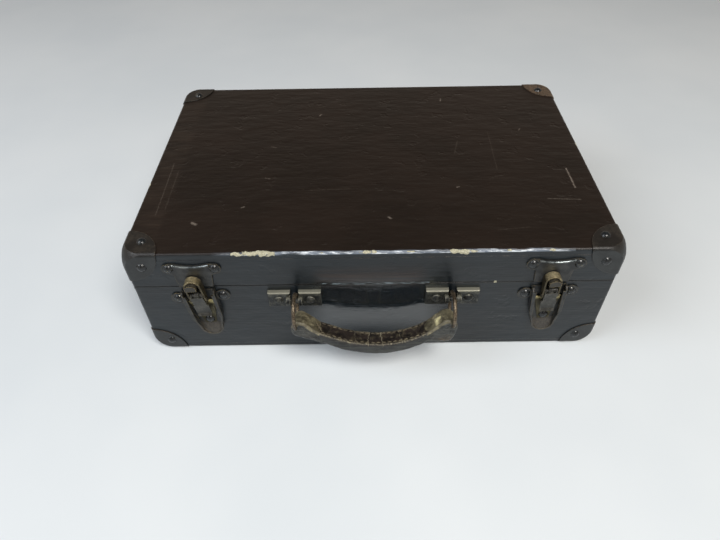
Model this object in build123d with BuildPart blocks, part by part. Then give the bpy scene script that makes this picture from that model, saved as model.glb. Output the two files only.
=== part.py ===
from build123d import *
import os
from math import asin, atan2, cos, degrees, hypot, radians, sin, sqrt

os.makedirs("parts", exist_ok=True)

# A portable tube tester's case: a shallow wooden box with a hinged lid, painted black.
# Millimetres. The origin is the middle of the underside, X to the right, Y to the back, Z up.
# The front carries two draw latches and a leather handle, the back two stop hinges.

# Wooden box
case_width = 380.0
case_depth = 253.0
base_height = 79.2
split_gap = 0.6
lid_height = 34.2
board = 8.0
bottom_panel = 5.0
top_panel = 6.0
edge_round = 2.5
corner_reach = 15.0

# Rim strips and cleats inside the base
strip_thick = 3.0
strip_below = 22.0
strip_above = 5.0
lid_fit = 0.5
cleat_side = 12.0
cleat_drop = 24.0
cleat_end_gap = 10.0

# Stamped corners
corner_metal = 0.9
corner_lobe = 26.0
lid_lobe = 27.0
base_rivet_side = 14.2
base_rivet_rise = 12.5
lid_rivet_side = 13.6
lid_rivet_drop = 12.6
top_rivet_x = 13.5
top_rivet_y = 14.5

# Round-head rivets
rivet_head = 3.9
rivet_dome = 2.3
rivet_shank = 1.7
rivet_depth = 7.0

# Handle: brackets, rings, grip
bracket_spacing = 126.0
ring_inset = 1.2
ring_wire = 1.5
ring_radius = 13.5
ring_wall_gap = 0.3
handle_drop = 14.2
handle_lean = 18.0
bracket_width = 42.6
bracket_height = 16.0
bracket_rise = 57.8
bracket_thick = 4.0
bracket_slot = 6.4
bracket_round = 1.2
staple_radius = 2.0
staple_out = 6.0
staple_rise = 67.0
knuckle_width = 3.2
knuckle_half = 3.4
bracket_rivet_spread = 12.6
grip_half_length = 44.5
grip_width = 20.0
grip_inner_drop = 25.8
grip_outer_drop = 36.3
grip_end_inner = 13.8
grip_end_outer = 23.2
grip_round = 3.0
tab_width = 19.0
tab_radius = 7.0
tab_reach = 58.5
tab_drop = 11.2
tab_heel_radius = 6.6
tab_heel_reach = 56.5
tab_heel_drop = {"left": 12.6, "right": 18.0}
tab_gap = 0.3
tab_round = 1.6
tab_ring_gap = 0.25

# Draw latches
latch_spread = 139.0
latch_lean = {"left": 5.0, "right": 4.0}
plate_thick = 1.2
lever_pin_drop = 4.2
lever_pin_out = 5.5
lever_pin_radius = 1.2
link_pin_drop = 5.0
link_pin_radius = 1.0
link_pin_head = 1.7
link_pin_head_thick = 0.5
running = 0.06
side_gap = 0.3
lever_width = 12.3
lever_neck_width = 10.0
lever_tip_width = 11.2
lever_plate = 1.1
lever_flange = 1.2
lever_flange_drop = 14.2
lever_eye = 2.6
lever_plate_out = 2.3
lever_fall = 2.9
lever_curl = 1.3
lever_top = 0.6
lever_shoulder = 10.3
lever_knee = 21.2
lever_tip = 23.4
lug_thick = 1.4
lug_radius = 2.0
lug_foot_drop = 4.6
lug_foot = 4.2
link_strap = 1.3
link_depth = 3.6
link_crown_depth = 6.4
link_eye = 2.2
crown_rise = 17.6
crown_out = 5.3
lid_plate_thick = 1.4
hook_half_width = 4.0
hook_seat_gap = 0.5
hook_root_rise = 11.2
hook_slack = 2.8
hook_tip_half_width = 4.4
hook_tip_rise = 0.7
hook_tip_thick = 1.4
base_ear_spread = 18.0
base_ear_drop = 6.9
base_ear_radius = 5.8
base_ear_web = 8.0
pan_depth = 5.4
pan_wall = 1.4
pan_top = 1.2
pan_top_half = 13.6
pan_waist_drop = 27.0
pan_waist_half = 12.8
pan_foot_drop = 40.8
pan_foot_half = 9.4
pan_lip_half = 10.4
pan_lip_top = 2.6
pan_lip_foot = 38.0
pan_lip_thick = 1.1
pan_chamfer = 3.4
pan_ramp_top = 38.4
pan_ramp_out = 4.0
foot_rivet_drop = 33.6
spring_thick = 0.7
spring_top_drop = 10.0
spring_top_half = 10.3
spring_top_out = 2.4
spring_bend_drop = 29.4
spring_foot_drop = 38.0
spring_foot_half = 4.5
spring_bead = 0.8
lid_ear_spread = 17.6
lid_ear_rise = 20.0
lid_ear_radius = 5.0
lid_plate_foot = 0.8
lid_plate_foot_half = 13.3
lid_plate_neck_rise = 13.4
lid_plate_neck_half = 14.6
lid_plate_dip_rise = 23.0
lid_plate_dip_depth = 3.0
lid_plate_dip_half = 16.6
lid_roll_half = 14.0
lid_rim_radius = 1.3

# Rear stop hinges
hinge_spread = 110.0
hinge_width = 50.0
hinge_leaf = 1.6
hinge_leaf_reach = 22.0
hinge_knuckle = 3.2
hinge_wall_gap = 0.3
hinge_pin = 1.5
hinge_pin_head = 2.3
hinge_pin_head_thick = 0.8
hinge_middle = 22.0
hinge_end_gap = 0.3
hinge_leaf_clear = 0.4
lid_opening = 105.0
heel_length = 8.0
heel_thick = 1.4
heel_seat_gap = 0.3
screw_spread = 17.0
screw_drop = 14.0
screw_head = 3.1
screw_dome = 1.5
screw_shank = 1.4
screw_depth = 6.5

# Places that follow from the sizes above
front_y = -case_depth / 2
back_y = case_depth / 2
side_x = case_width / 2
lid_rim_z = base_height + split_gap
case_top = lid_rim_z + lid_height
inner_x = side_x - board
inner_y = back_y - board
hinge_z = base_height + split_gap / 2
hinge_y = back_y + hinge_wall_gap + hinge_knuckle
handle_out = ring_radius + ring_wire + ring_wall_gap
handle_z = base_height - handle_drop
lever_pin_z = base_height - lever_pin_drop
sides = {"left": -1, "right": 1}
ends = {"front": -1, "back": 1}


def save(piece, name):
    """Label a finished piece and write it as its own STEP file."""
    piece.label = name
    export_step(piece, f"parts/{name}.step")


def slab(low, high):
    """A plain block between two opposite corners."""
    middle = [(a + b) / 2 for a, b in zip(low, high)]
    with BuildPart() as block:
        with Locations(tuple(middle)):
            Box(*[b - a for a, b in zip(low, high)])
    return block.part


def front_plane(x, z, lean=0.0):
    """A plane on the front face: local X to the right, Y up, Z out of the case."""
    turn = radians(lean)
    return Plane(origin=(x, front_y, z), x_dir=(cos(turn), 0, sin(turn)), z_dir=(0, -1, 0))


def side_view(plane, x=0.0):
    """The plane that cuts a front plane upright at x: local X is its up, local Y its out."""
    return Plane(origin=plane.from_local_coords((x, 0, 0)), x_dir=plane.y_dir, z_dir=plane.x_dir)


def round_heads(plane, points, seat, head, dome, shank, depth):
    """Round-head fasteners on a plane: each is a dome on the seat with its shank below."""
    ball = (head**2 + dome**2) / (2 * dome)
    latitude = degrees(asin((ball - dome) / ball))
    with BuildPart(plane) as fasteners:
        with Locations(*[(x, y, seat) for x, y in points]):
            Sphere(ball, arc_size1=latitude, align=(Align.CENTER, Align.CENTER, Align.MIN))
            Cylinder(shank, depth, align=(Align.CENTER, Align.CENTER, Align.MAX))
    return fasteners.part


def rivets(plane, points, seat):
    """Round-head rivets, all of one size."""
    return round_heads(plane, points, seat, rivet_head, rivet_dome, rivet_shank, rivet_depth)


# Outer shape of the box: soft edges, and each corner trimmed by a ball that meets the edges smoothly
def corner_trim(right, back, up, ball):
    """What the ball leaves of a small cube at one corner of the box."""
    reach = corner_reach + 2 * corner_metal
    height = case_top - corner_reach if up > 0 else corner_metal + corner_reach
    centre = (right * (side_x - corner_reach), back * (back_y - corner_reach), height)
    away = (right * reach / 2, back * reach / 2, up * reach / 2)
    with BuildPart() as trim:
        with Locations(tuple(c + a for c, a in zip(centre, away))):
            Box(reach, reach, reach)
        with Locations(centre):
            Sphere(ball, mode=Mode.SUBTRACT)
    return trim.part


def rounded_case(grow, top):
    """The box from the floor to its top, grown sideways by some metal thickness."""
    ball = sqrt(2) * corner_reach - (sqrt(2) - 1) * edge_round + grow
    trims = [corner_trim(r, b, u, ball) for r in (-1, 1) for b in (-1, 1) for u in (-1, 1)]
    with BuildPart() as shape:
        with Locations((0, 0, top / 2)):
            Box(case_width + 2 * grow, case_depth + 2 * grow, top)
        fillet(shape.edges(), edge_round + grow)
        for trim in trims:
            add(trim, mode=Mode.SUBTRACT)
    return shape.part


wood_shape = rounded_case(0, case_top)
metal_shape = rounded_case(corner_metal, case_top + corner_metal)
with BuildPart() as raised_wood:
    add(wood_shape)
    with Locations((0, 0, corner_metal / 2)):
        Box(2 * case_width, 2 * case_depth, corner_metal, mode=Mode.SUBTRACT)


# Stamped metal corners
def base_corner(right, back):
    """A bottom corner: three quarter-round lobes, flush with the underside."""
    vertex = (right * side_x, back * back_y, 0)
    with BuildPart() as corner:
        with Locations(vertex):
            Sphere(corner_lobe)
        add(metal_shape, mode=Mode.INTERSECT)
        add(raised_wood.part, mode=Mode.SUBTRACT)
    return corner.part


def lid_corner(right, back):
    """A top corner: three quarter-round lobes, proud of the lid."""
    vertex = (right * side_x, back * back_y, case_top)
    with BuildPart() as corner:
        with Locations(vertex):
            Sphere(lid_lobe)
        add(metal_shape, mode=Mode.INTERSECT)
        add(wood_shape, mode=Mode.SUBTRACT)
    return corner.part


base_corners = {(b, r): base_corner(sides[r], ends[b]) for b in ends for r in sides}
lid_corners = {(b, r): lid_corner(sides[r], ends[b]) for b in ends for r in sides}


# Rivets of the corners: on every upright face, and on top of the lid
def corner_rivets():
    """The rivets of the base corners and of the lid corners, as two groups."""
    base_group = []
    lid_group = []
    for back in (-1, 1):
        wall = Plane(origin=(0, back * back_y, 0), x_dir=(-back, 0, 0), z_dir=(0, back, 0))
        low = [(s * (side_x - base_rivet_side), base_rivet_rise) for s in (-1, 1)]
        high = [(s * (side_x - lid_rivet_side), case_top - lid_rivet_drop) for s in (-1, 1)]
        base_group.append(rivets(wall, low, corner_metal))
        lid_group.append(rivets(wall, high, corner_metal))
    for right in (-1, 1):
        wall = Plane(origin=(right * side_x, 0, 0), x_dir=(0, right, 0), z_dir=(right, 0, 0))
        low = [(s * (back_y - base_rivet_side), base_rivet_rise) for s in (-1, 1)]
        high = [(s * (back_y - lid_rivet_side), case_top - lid_rivet_drop) for s in (-1, 1)]
        base_group.append(rivets(wall, low, corner_metal))
        lid_group.append(rivets(wall, high, corner_metal))
    top = Plane.XY.offset(case_top)
    reach = (side_x - top_rivet_x, back_y - top_rivet_y)
    places = [(r * reach[0], b * reach[1]) for r in (-1, 1) for b in (-1, 1)]
    lid_group.append(rivets(top, places, corner_metal))
    with BuildPart() as base_all:
        for group in base_group:
            add(group)
    with BuildPart() as lid_all:
        for group in lid_group:
            add(group)
    return base_all.part, lid_all.part


base_corner_rivets, lid_corner_rivets = corner_rivets()


# Draw latches
strap_out = crown_out + link_crown_depth / 2
hook_tip_in = strap_out + hook_slack
link_outer = lever_neck_width / 2 + side_gap + link_strap
link_inner = link_outer - link_strap
link_angle = atan2(lever_pin_out - crown_out, crown_rise + link_pin_drop)
link_length = hypot(lever_pin_out - crown_out, crown_rise + link_pin_drop)
arch_length = link_length - link_outer
arch_rise = arch_length * cos(link_angle) - link_pin_drop


def pan_outline(plane, grow=0.0):
    """The boat-shaped outline of the latch's raised sides, smaller or larger by grow."""
    with BuildSketch(plane) as outline:
        with BuildLine():
            foot_left = (-pan_foot_half, -pan_foot_drop)
            foot_right = (pan_foot_half, -pan_foot_drop)
            top_right = (pan_top_half, pan_top)
            Polyline(
                foot_right,
                (pan_waist_half, -pan_waist_drop),
                top_right,
                (-pan_top_half, pan_top),
                (-pan_waist_half, -pan_waist_drop),
                foot_left,
            )
            ThreePointArc(foot_left, (0, -pan_foot_drop - pan_foot_half), foot_right)
        make_face()
        if grow:
            offset(amount=grow, kind=Kind.INTERSECTION)
    return outline.sketch


def pan_lips(plane):
    """The two lips that turn inward from the pan's raised sides."""
    with BuildPart() as lips:
        with BuildSketch(plane.offset(pan_depth - pan_lip_thick)):
            add(pan_outline(Plane.XY))
            with Locations((0, -(pan_lip_top + pan_lip_foot) / 2)):
                Rectangle(2 * pan_top_half, pan_lip_foot - pan_lip_top, mode=Mode.INTERSECT)
            Rectangle(2 * pan_lip_half, 2 * pan_foot_drop, mode=Mode.SUBTRACT)
        extrude(amount=pan_lip_thick)
    return lips.part


def pan_ramp(plane):
    """The slope at the pan's foot, where a finger gets under the lever."""
    foot = -pan_foot_drop - pan_foot_half
    crest = plate_thick + pan_ramp_out
    with BuildPart() as ramp:
        with BuildSketch(plane):
            add(pan_outline(Plane.XY, -pan_wall / 2))
        extrude(amount=pan_depth)
        with BuildSketch(side_view(plane)):
            with BuildLine():
                Polyline(
                    (-pan_ramp_top, plate_thick),
                    (foot, plate_thick),
                    (foot, crest),
                    (foot + pan_wall, crest),
                    close=True,
                )
            make_face()
        extrude(amount=pan_foot_half, both=True, mode=Mode.INTERSECT)
    return ramp.part


def latch_base_plate(plane):
    """The lower stamping: a riveted plate with raised sides, lips, a finger ramp and two lugs."""
    upright = side_view(plane)
    lug_x = lever_neck_width / 2 - lever_flange - side_gap - lug_thick / 2
    brow = pan_top + pan_wall
    with BuildPart() as body:
        with BuildSketch(plane):
            add(pan_outline(Plane.XY))
            with Locations((-base_ear_spread, -base_ear_drop), (base_ear_spread, -base_ear_drop)):
                Circle(base_ear_radius)
            with Locations((0, -base_ear_drop)):
                Rectangle(2 * base_ear_spread, base_ear_web)
        extrude(amount=plate_thick)
        with BuildSketch(plane):
            add(pan_outline(Plane.XY))
        extrude(amount=pan_depth)
        with BuildSketch(plane.offset(plate_thick)):
            add(pan_outline(Plane.XY, -pan_wall))
            with Locations((0, pan_top)):
                Rectangle(2 * (pan_top_half - pan_wall), 2 * brow)
        extrude(amount=pan_depth, mode=Mode.SUBTRACT)
        add(pan_lips(plane))
        add(pan_ramp(plane))
        with BuildSketch(upright):
            with BuildLine():
                Polyline(
                    (brow, pan_depth - pan_chamfer),
                    (brow, pan_depth + pan_wall),
                    (pan_top - pan_chamfer, pan_depth + pan_wall),
                    close=True,
                )
            make_face()
        extrude(amount=2 * pan_top_half, both=True, mode=Mode.SUBTRACT)
        for lug in (-lug_x, lug_x):
            with BuildSketch(side_view(plane, lug)):
                with Locations((0, lever_pin_out)):
                    Circle(lug_radius)
                with Locations((-lug_foot_drop, plate_thick)):
                    Rectangle(lug_foot, plate_thick / 2)
                make_hull()
            extrude(amount=lug_thick / 2, both=True)
        with BuildSketch(upright):
            with Locations((0, lever_pin_out)):
                Circle(lever_pin_radius)
        extrude(amount=lever_width, both=True, mode=Mode.SUBTRACT)
    return body.part


def latch_spring(plane):
    """The leaf spring under the lever: riveted at its foot, with its top edge rolled to a bead."""
    foot_top = plate_thick + spring_thick
    with BuildPart() as body:
        with BuildSketch(plane):
            with BuildLine():
                Polyline(
                    (spring_foot_half, -spring_foot_drop),
                    (spring_top_half, -spring_top_drop),
                    (-spring_top_half, -spring_top_drop),
                    (-spring_foot_half, -spring_foot_drop),
                    close=True,
                )
            make_face()
        extrude(amount=pan_depth)
        with BuildSketch(side_view(plane)):
            with BuildLine():
                Polyline(
                    (-spring_foot_drop, plate_thick),
                    (-spring_bend_drop, plate_thick),
                    (-spring_top_drop, spring_top_out),
                    (-spring_top_drop, spring_top_out + spring_thick),
                    (-spring_bend_drop, foot_top),
                    (-spring_foot_drop, foot_top),
                    close=True,
                )
            make_face()
        extrude(amount=spring_top_half, both=True, mode=Mode.INTERSECT)
        with BuildSketch(side_view(plane)):
            with Locations((-spring_top_drop, spring_top_out)):
                Circle(spring_bead)
        extrude(amount=spring_top_half, both=True)
    return body.part


def latch_lever(plane):
    """The lever: a plate with a narrow neck, whose flanges carry both pins, and a barrel at the top."""
    upright = side_view(plane)
    neck = lever_neck_width / 2
    shoulder = lever_width / 2
    tip = lever_tip_width / 2
    top_in = lever_pin_out + lever_plate_out
    knee_in = top_in - lever_fall
    tip_in = knee_in + lever_curl
    seat = top_in - lever_fall * (lever_flange_drop - lever_top) / (lever_knee - lever_top)
    barrel_half = neck - lever_flange - lug_thick - 2 * side_gap
    with BuildPart() as body:
        with BuildSketch(upright):
            with BuildLine():
                Polyline(
                    (-lever_top, top_in),
                    (-lever_knee, knee_in),
                    (-lever_tip, tip_in),
                    (-lever_tip, tip_in + lever_plate),
                    (-lever_knee, knee_in + lever_plate),
                    (-lever_top, top_in + lever_plate),
                    close=True,
                )
            make_face()
        extrude(amount=shoulder, both=True)
        with BuildSketch(plane):
            with BuildLine():
                Polyline(
                    (neck, -lever_top),
                    (neck, -lever_shoulder),
                    (shoulder, -lever_shoulder - lever_plate),
                    (tip, -lever_tip),
                    (-tip, -lever_tip),
                    (-shoulder, -lever_shoulder - lever_plate),
                    (-neck, -lever_shoulder),
                    (-neck, -lever_top),
                    close=True,
                )
            make_face()
        extrude(amount=top_in + lever_plate, mode=Mode.INTERSECT)
        for flange in (-neck + lever_flange / 2, neck - lever_flange / 2):
            with BuildSketch(side_view(plane, flange)):
                with Locations((0, lever_pin_out)):
                    Circle(lever_eye)
                with Locations((-link_pin_drop, lever_pin_out)):
                    Circle(lever_eye)
                with Locations((-lever_flange_drop, seat + lever_plate / 2)):
                    Circle(lever_plate / 2)
                make_hull()
            extrude(amount=lever_flange / 2, both=True)
        with BuildSketch(upright):
            with Locations((0, lever_pin_out)):
                Circle(lever_eye)
        extrude(amount=barrel_half, both=True)
        with BuildSketch(upright):
            with Locations((0, lever_pin_out)):
                Circle(lever_pin_radius + running)
            with Locations((-link_pin_drop, lever_pin_out)):
                Circle(link_pin_radius)
        extrude(amount=lever_width, both=True, mode=Mode.SUBTRACT)
    return body.part


def latch_lever_pin(plane):
    """The pin in the lugs, flush with the flanges so that the link can pass."""
    with BuildPart() as body:
        with BuildSketch(side_view(plane)):
            with Locations((0, lever_pin_out)):
                Circle(lever_pin_radius)
        extrude(amount=lever_neck_width / 2, both=True)
    return body.part


def latch_link_pin(plane):
    """The pin through the lever's flanges and the link's eyes, with a head at each end."""
    head_in = link_outer + side_gap / 3
    with BuildPart() as body:
        with BuildSketch(side_view(plane)):
            with Locations((-link_pin_drop, lever_pin_out)):
                Circle(link_pin_radius)
        extrude(amount=head_in, both=True)
        for start in (-head_in - link_pin_head_thick, head_in):
            with BuildSketch(side_view(plane, start)):
                with Locations((-link_pin_drop, lever_pin_out)):
                    Circle(link_pin_head)
            extrude(amount=link_pin_head_thick)
    return body.part


def latch_link(plane):
    """The link: a strap bent to an arch, wide at its crown and narrow at its two eyes."""
    origin = plane.from_local_coords((0, -link_pin_drop, lever_pin_out))
    normal = plane.z_dir * cos(link_angle) + plane.y_dir * sin(link_angle)
    tilted = Plane(origin=origin, x_dir=plane.x_dir, z_dir=normal)
    leg_x = (link_outer + link_inner) / 2
    with BuildPart() as body:
        with BuildSketch(tilted.offset(-link_crown_depth / 2)):
            with Locations((0, arch_length)):
                Circle(link_outer)
                Circle(link_inner, mode=Mode.SUBTRACT)
                with Locations((0, -link_outer)):
                    Rectangle(2 * link_outer, 2 * link_outer, mode=Mode.SUBTRACT)
            with Locations((-leg_x, arch_length / 2), (leg_x, arch_length / 2)):
                Rectangle(link_strap, arch_length)
        extrude(amount=link_crown_depth)
        with BuildSketch(side_view(tilted)):
            with BuildLine():
                Polyline(
                    (-link_eye, -link_depth / 2),
                    (arch_length, -link_crown_depth / 2),
                    (arch_length + link_outer, -link_crown_depth / 2),
                    (arch_length + link_outer, link_crown_depth / 2),
                    (arch_length, link_crown_depth / 2),
                    (-link_eye, link_depth / 2),
                    close=True,
                )
            make_face()
        extrude(amount=link_outer, both=True, mode=Mode.INTERSECT)
        for leg in (-leg_x, leg_x):
            with BuildSketch(side_view(plane, leg)):
                with Locations((-link_pin_drop, lever_pin_out)):
                    Circle(link_eye)
            extrude(amount=link_strap / 2, both=True)
        with BuildSketch(side_view(plane)):
            with Locations((-link_pin_drop, lever_pin_out)):
                Circle(link_pin_radius + running)
        extrude(amount=2 * link_outer, both=True, mode=Mode.SUBTRACT)
    return body.part


def latch_lid_plate(flat, plane):
    """The upper stamping: two ears, a dished top edge with a rolled rim, and the hook."""
    dip = lid_plate_dip_rise
    ear_top = lid_ear_rise + lid_ear_radius
    scoop = (lid_plate_dip_half**2 + lid_plate_dip_depth**2) / (2 * lid_plate_dip_depth)
    seat = link_inner - hook_seat_gap
    with BuildPart() as body:
        with BuildSketch(flat):
            with BuildLine():
                Polyline(
                    (lid_plate_foot_half, lid_plate_foot),
                    (lid_plate_neck_half, lid_plate_neck_rise),
                    (lid_ear_spread, lid_ear_rise - lid_ear_radius),
                    (lid_ear_spread, ear_top),
                    (-lid_ear_spread, ear_top),
                    (-lid_ear_spread, lid_ear_rise - lid_ear_radius),
                    (-lid_plate_neck_half, lid_plate_neck_rise),
                    (-lid_plate_foot_half, lid_plate_foot),
                    close=True,
                )
            make_face()
            with Locations((-lid_ear_spread, lid_ear_rise), (lid_ear_spread, lid_ear_rise)):
                Circle(lid_ear_radius)
            with Locations((0, dip + scoop)):
                Circle(scoop, mode=Mode.SUBTRACT)
        extrude(amount=lid_plate_thick)
        with BuildLine(flat.offset(lid_plate_thick)) as rim:
            roll_end = dip + scoop - sqrt((scoop + lid_rim_radius) ** 2 - lid_roll_half**2)
            ThreePointArc((-lid_roll_half, roll_end), (0, dip - lid_rim_radius), (lid_roll_half, roll_end))
        with BuildSketch(Plane(origin=rim.line @ 0, z_dir=rim.line % 0)):
            Circle(lid_rim_radius)
        sweep(path=rim.line)
        with BuildSketch(plane):
            with Locations((0, arch_rise)):
                Circle(seat)
            with Locations((0, hook_root_rise + seat)):
                Rectangle(2 * hook_half_width, 2 * seat, mode=Mode.INTERSECT)
        extrude(amount=hook_tip_in + hook_tip_thick)
        with BuildSketch(plane.offset(hook_tip_in)):
            with Locations((0, arch_rise)):
                Circle(link_inner + hook_tip_rise)
            with Locations((0, hook_root_rise + seat)):
                Rectangle(2 * hook_tip_half_width, 2 * seat, mode=Mode.INTERSECT)
        extrude(amount=hook_tip_thick)
        with BuildSketch(flat):
            Rectangle(4 * lid_ear_spread, 2 * lid_plate_foot)
        extrude(amount=pan_depth, mode=Mode.SUBTRACT)
    return body.part


latch_planes = {
    side: front_plane(sign * latch_spread, lever_pin_z, latch_lean[side]) for side, sign in sides.items()
}
lid_planes = {side: front_plane(sign * latch_spread, lid_rim_z) for side, sign in sides.items()}
base_ears = [(s * base_ear_spread, -base_ear_drop) for s in (-1, 1)]
lid_ears = [(s * lid_ear_spread, lid_ear_rise) for s in (-1, 1)]

with BuildPart() as latch_base_rivets:
    for side in sides:
        add(rivets(latch_planes[side], base_ears, plate_thick))
        add(rivets(latch_planes[side], [(0, -foot_rivet_drop)], plate_thick + spring_thick))
with BuildPart() as latch_lid_rivets:
    for side in sides:
        add(rivets(lid_planes[side], lid_ears, lid_plate_thick))

for side in sides:
    plane = latch_planes[side]
    with BuildPart() as base_plate:
        add(latch_base_plate(plane))
        add(latch_base_rivets.part, mode=Mode.SUBTRACT)
    with BuildPart() as lid_plate:
        add(latch_lid_plate(lid_planes[side], plane))
        add(latch_lid_rivets.part, mode=Mode.SUBTRACT)
    with BuildPart() as spring:
        add(latch_spring(plane))
        add(latch_base_rivets.part, mode=Mode.SUBTRACT)
    save(spring.part, f"latch_{side}_spring")
    save(base_plate.part, f"latch_{side}_base_plate")
    save(lid_plate.part, f"latch_{side}_lid_plate")
    save(latch_lever(plane), f"latch_{side}_lever")
    save(latch_lever_pin(plane), f"latch_{side}_lever_pin")
    save(latch_link(plane), f"latch_{side}_link")
    save(latch_link_pin(plane), f"latch_{side}_link_pin")
save(latch_base_rivets.part, "latch_base_rivets")
save(latch_lid_rivets.part, "latch_lid_rivets")


# Handle brackets: two riveted pads joined by a staple bar, which the ring goes round
def handle_bracket(plane):
    """A bracket on a front plane whose local origin is the middle of the slot at the case's foot."""
    pad_width = (bracket_width - bracket_slot) / 2
    pad_x = (bracket_slot + pad_width) / 2
    with BuildPart() as body:
        with BuildSketch(plane):
            middle = bracket_rise + bracket_height / 2
            with Locations((-pad_x, middle), (pad_x, middle)):
                Rectangle(pad_width, bracket_height)
        extrude(amount=bracket_thick)
        tops = body.faces().filter_by(Plane.XZ).group_by(Axis.Y)[0]
        fillet(tops.edges(), bracket_round)
        knuckle_x = (bracket_slot + knuckle_width) / 2
        for x in (-knuckle_x, knuckle_x):
            with BuildSketch(side_view(plane, x)):
                with Locations((staple_rise, staple_out)):
                    Circle(knuckle_half)
                with Locations((staple_rise, bracket_thick / 2)):
                    Rectangle(2 * knuckle_half, bracket_thick)
            extrude(amount=knuckle_width / 2, both=True)
        with BuildSketch(side_view(plane)):
            with Locations((staple_rise, staple_out)):
                Circle(staple_radius)
        extrude(amount=bracket_slot, both=True)
    return body.part


bracket_planes = {side: front_plane(sign * bracket_spacing / 2, 0) for side, sign in sides.items()}
bracket_points = [(s * bracket_rivet_spread, bracket_rise + bracket_height / 2) for s in (-1, 1)]
with BuildPart() as handle_bracket_rivets:
    for side in sides:
        add(rivets(bracket_planes[side], bracket_points, bracket_thick))
for side in sides:
    with BuildPart() as bracket:
        add(handle_bracket(bracket_planes[side]))
        add(handle_bracket_rivets.part, mode=Mode.SUBTRACT)
    save(bracket.part, f"handle_bracket_{side}")
save(handle_bracket_rivets.part, "handle_bracket_rivets")

# The handle's plane holds both ring centres: local X along the grip, local Y from the grip to the rings
lean = radians(handle_lean)
handle_plane = Plane(
    origin=(0, front_y - handle_out, handle_z), x_dir=(1, 0, 0), z_dir=(0, -cos(lean), sin(lean))
)


def handle_ring(sign, grow=0.0):
    """A round steel ring near the inner side of its slot, with its wire thicker by grow."""
    centre = (sign * (bracket_spacing / 2 - ring_inset), front_y - handle_out, handle_z)
    with BuildPart(Plane(origin=centre, z_dir=(1, 0, 0))) as ring:
        Torus(ring_radius, ring_wire + grow)
    return ring.part


with BuildPart() as handle_grip:
    with BuildSketch(handle_plane):
        with BuildLine():
            inner_left = (-grip_half_length, -grip_end_inner)
            inner_right = (grip_half_length, -grip_end_inner)
            outer_left = (-grip_half_length, -grip_end_outer)
            outer_right = (grip_half_length, -grip_end_outer)
            ThreePointArc(inner_left, (0, -grip_inner_drop), inner_right)
            Line(inner_right, outer_right)
            ThreePointArc(outer_right, (0, -grip_outer_drop), outer_left)
            Line(outer_left, inner_left)
        make_face()
    extrude(amount=grip_width / 2, both=True)
    fillet(handle_grip.edges().filter_by(GeomType.CIRCLE), grip_round)
save(handle_grip.part, "handle_grip")


def handle_tab(side):
    """A leather end tab: it climbs from the grip's end and wraps the foot of the ring."""
    sign = sides[side]
    start_x = sign * (grip_half_length + tab_gap)
    with BuildPart() as tab:
        with BuildSketch(handle_plane):
            with Locations((sign * tab_reach, -tab_drop)):
                Circle(tab_radius)
            with Locations((sign * tab_heel_reach, -tab_heel_drop[side])):
                Circle(tab_heel_radius)
            with BuildLine():
                Line((start_x, -grip_end_inner), (start_x, -grip_end_outer))
            make_hull()
        extrude(amount=tab_width / 2, both=True)
        caps = tab.faces().sort_by(Axis(origin=(0, 0, 0), direction=handle_plane.z_dir))
        fillet(caps[-1].edges() + caps[0].edges(), tab_round)
        add(handle_ring(sign, tab_ring_gap), mode=Mode.SUBTRACT)
    return tab.part


for side, sign in sides.items():
    save(handle_ring(sign), f"handle_ring_{side}")
    save(handle_tab(side), f"handle_tab_{side}")


# Rear stop hinges
wall_leaf_y = back_y + hinge_leaf
heel_room = hinge_y - wall_leaf_y - heel_seat_gap
heel_tilt = degrees(asin((heel_room - heel_thick / 2) / heel_length))
heel_rise = lid_opening - 90 - heel_tilt


def knuckle_spans(x, middle):
    """The stretches of X that one leaf's knuckles fill: the middle one, or the two outer ones."""
    if middle:
        return [(x - hinge_middle / 2, x + hinge_middle / 2)]
    near = hinge_middle / 2 + hinge_end_gap
    return [(x - hinge_width / 2, x - near), (x + near, x + hinge_width / 2)]


def hinge_leaf_body(x, middle):
    """A leaf on the back face. The lid's has the middle knuckle and the stop heel."""
    up = 1 if middle else -1
    near = hinge_z + up * (hinge_knuckle + hinge_leaf_clear)
    far = hinge_z + up * hinge_leaf_reach
    root = hinge_z + up * 2 * hinge_knuckle
    with BuildPart() as leaf:
        low_z, high_z = sorted((near, far))
        add(slab((x - hinge_width / 2, back_y, low_z), (x + hinge_width / 2, wall_leaf_y, high_z)))
        for low, high in knuckle_spans(x, middle):
            add(slab((low, back_y, min(root, hinge_z)), (high, hinge_y, max(root, hinge_z))))
            with BuildSketch(Plane(origin=(low, hinge_y, hinge_z), x_dir=(0, 1, 0), z_dir=(1, 0, 0))):
                Circle(hinge_knuckle)
            extrude(amount=high - low)
            if middle:
                along = (0, cos(radians(heel_rise)), sin(radians(heel_rise)))
                with BuildSketch(Plane(origin=(low, hinge_y, hinge_z), x_dir=along, z_dir=(1, 0, 0))):
                    with Locations((heel_length / 2, 0)):
                        Rectangle(heel_length, heel_thick)
                extrude(amount=high - low)
        bore = hinge_pin + (running if middle else 0)
        with BuildSketch(Plane(origin=(x - hinge_width, hinge_y, hinge_z), x_dir=(0, 1, 0), z_dir=(1, 0, 0))):
            Circle(bore)
        extrude(amount=2 * hinge_width, mode=Mode.SUBTRACT)
    return leaf.part


def hinge_pin_body(x):
    """The hinge pin, with a head at each end."""
    start = x - hinge_width / 2
    with BuildPart() as pin:
        with BuildSketch(Plane(origin=(start, hinge_y, hinge_z), x_dir=(0, 1, 0), z_dir=(1, 0, 0))):
            Circle(hinge_pin)
        extrude(amount=hinge_width)
        for place in (start - hinge_pin_head_thick, start + hinge_width):
            with BuildSketch(Plane(origin=(place, hinge_y, hinge_z), x_dir=(0, 1, 0), z_dir=(1, 0, 0))):
                Circle(hinge_pin_head)
            extrude(amount=hinge_pin_head_thick)
    return pin.part


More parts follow.
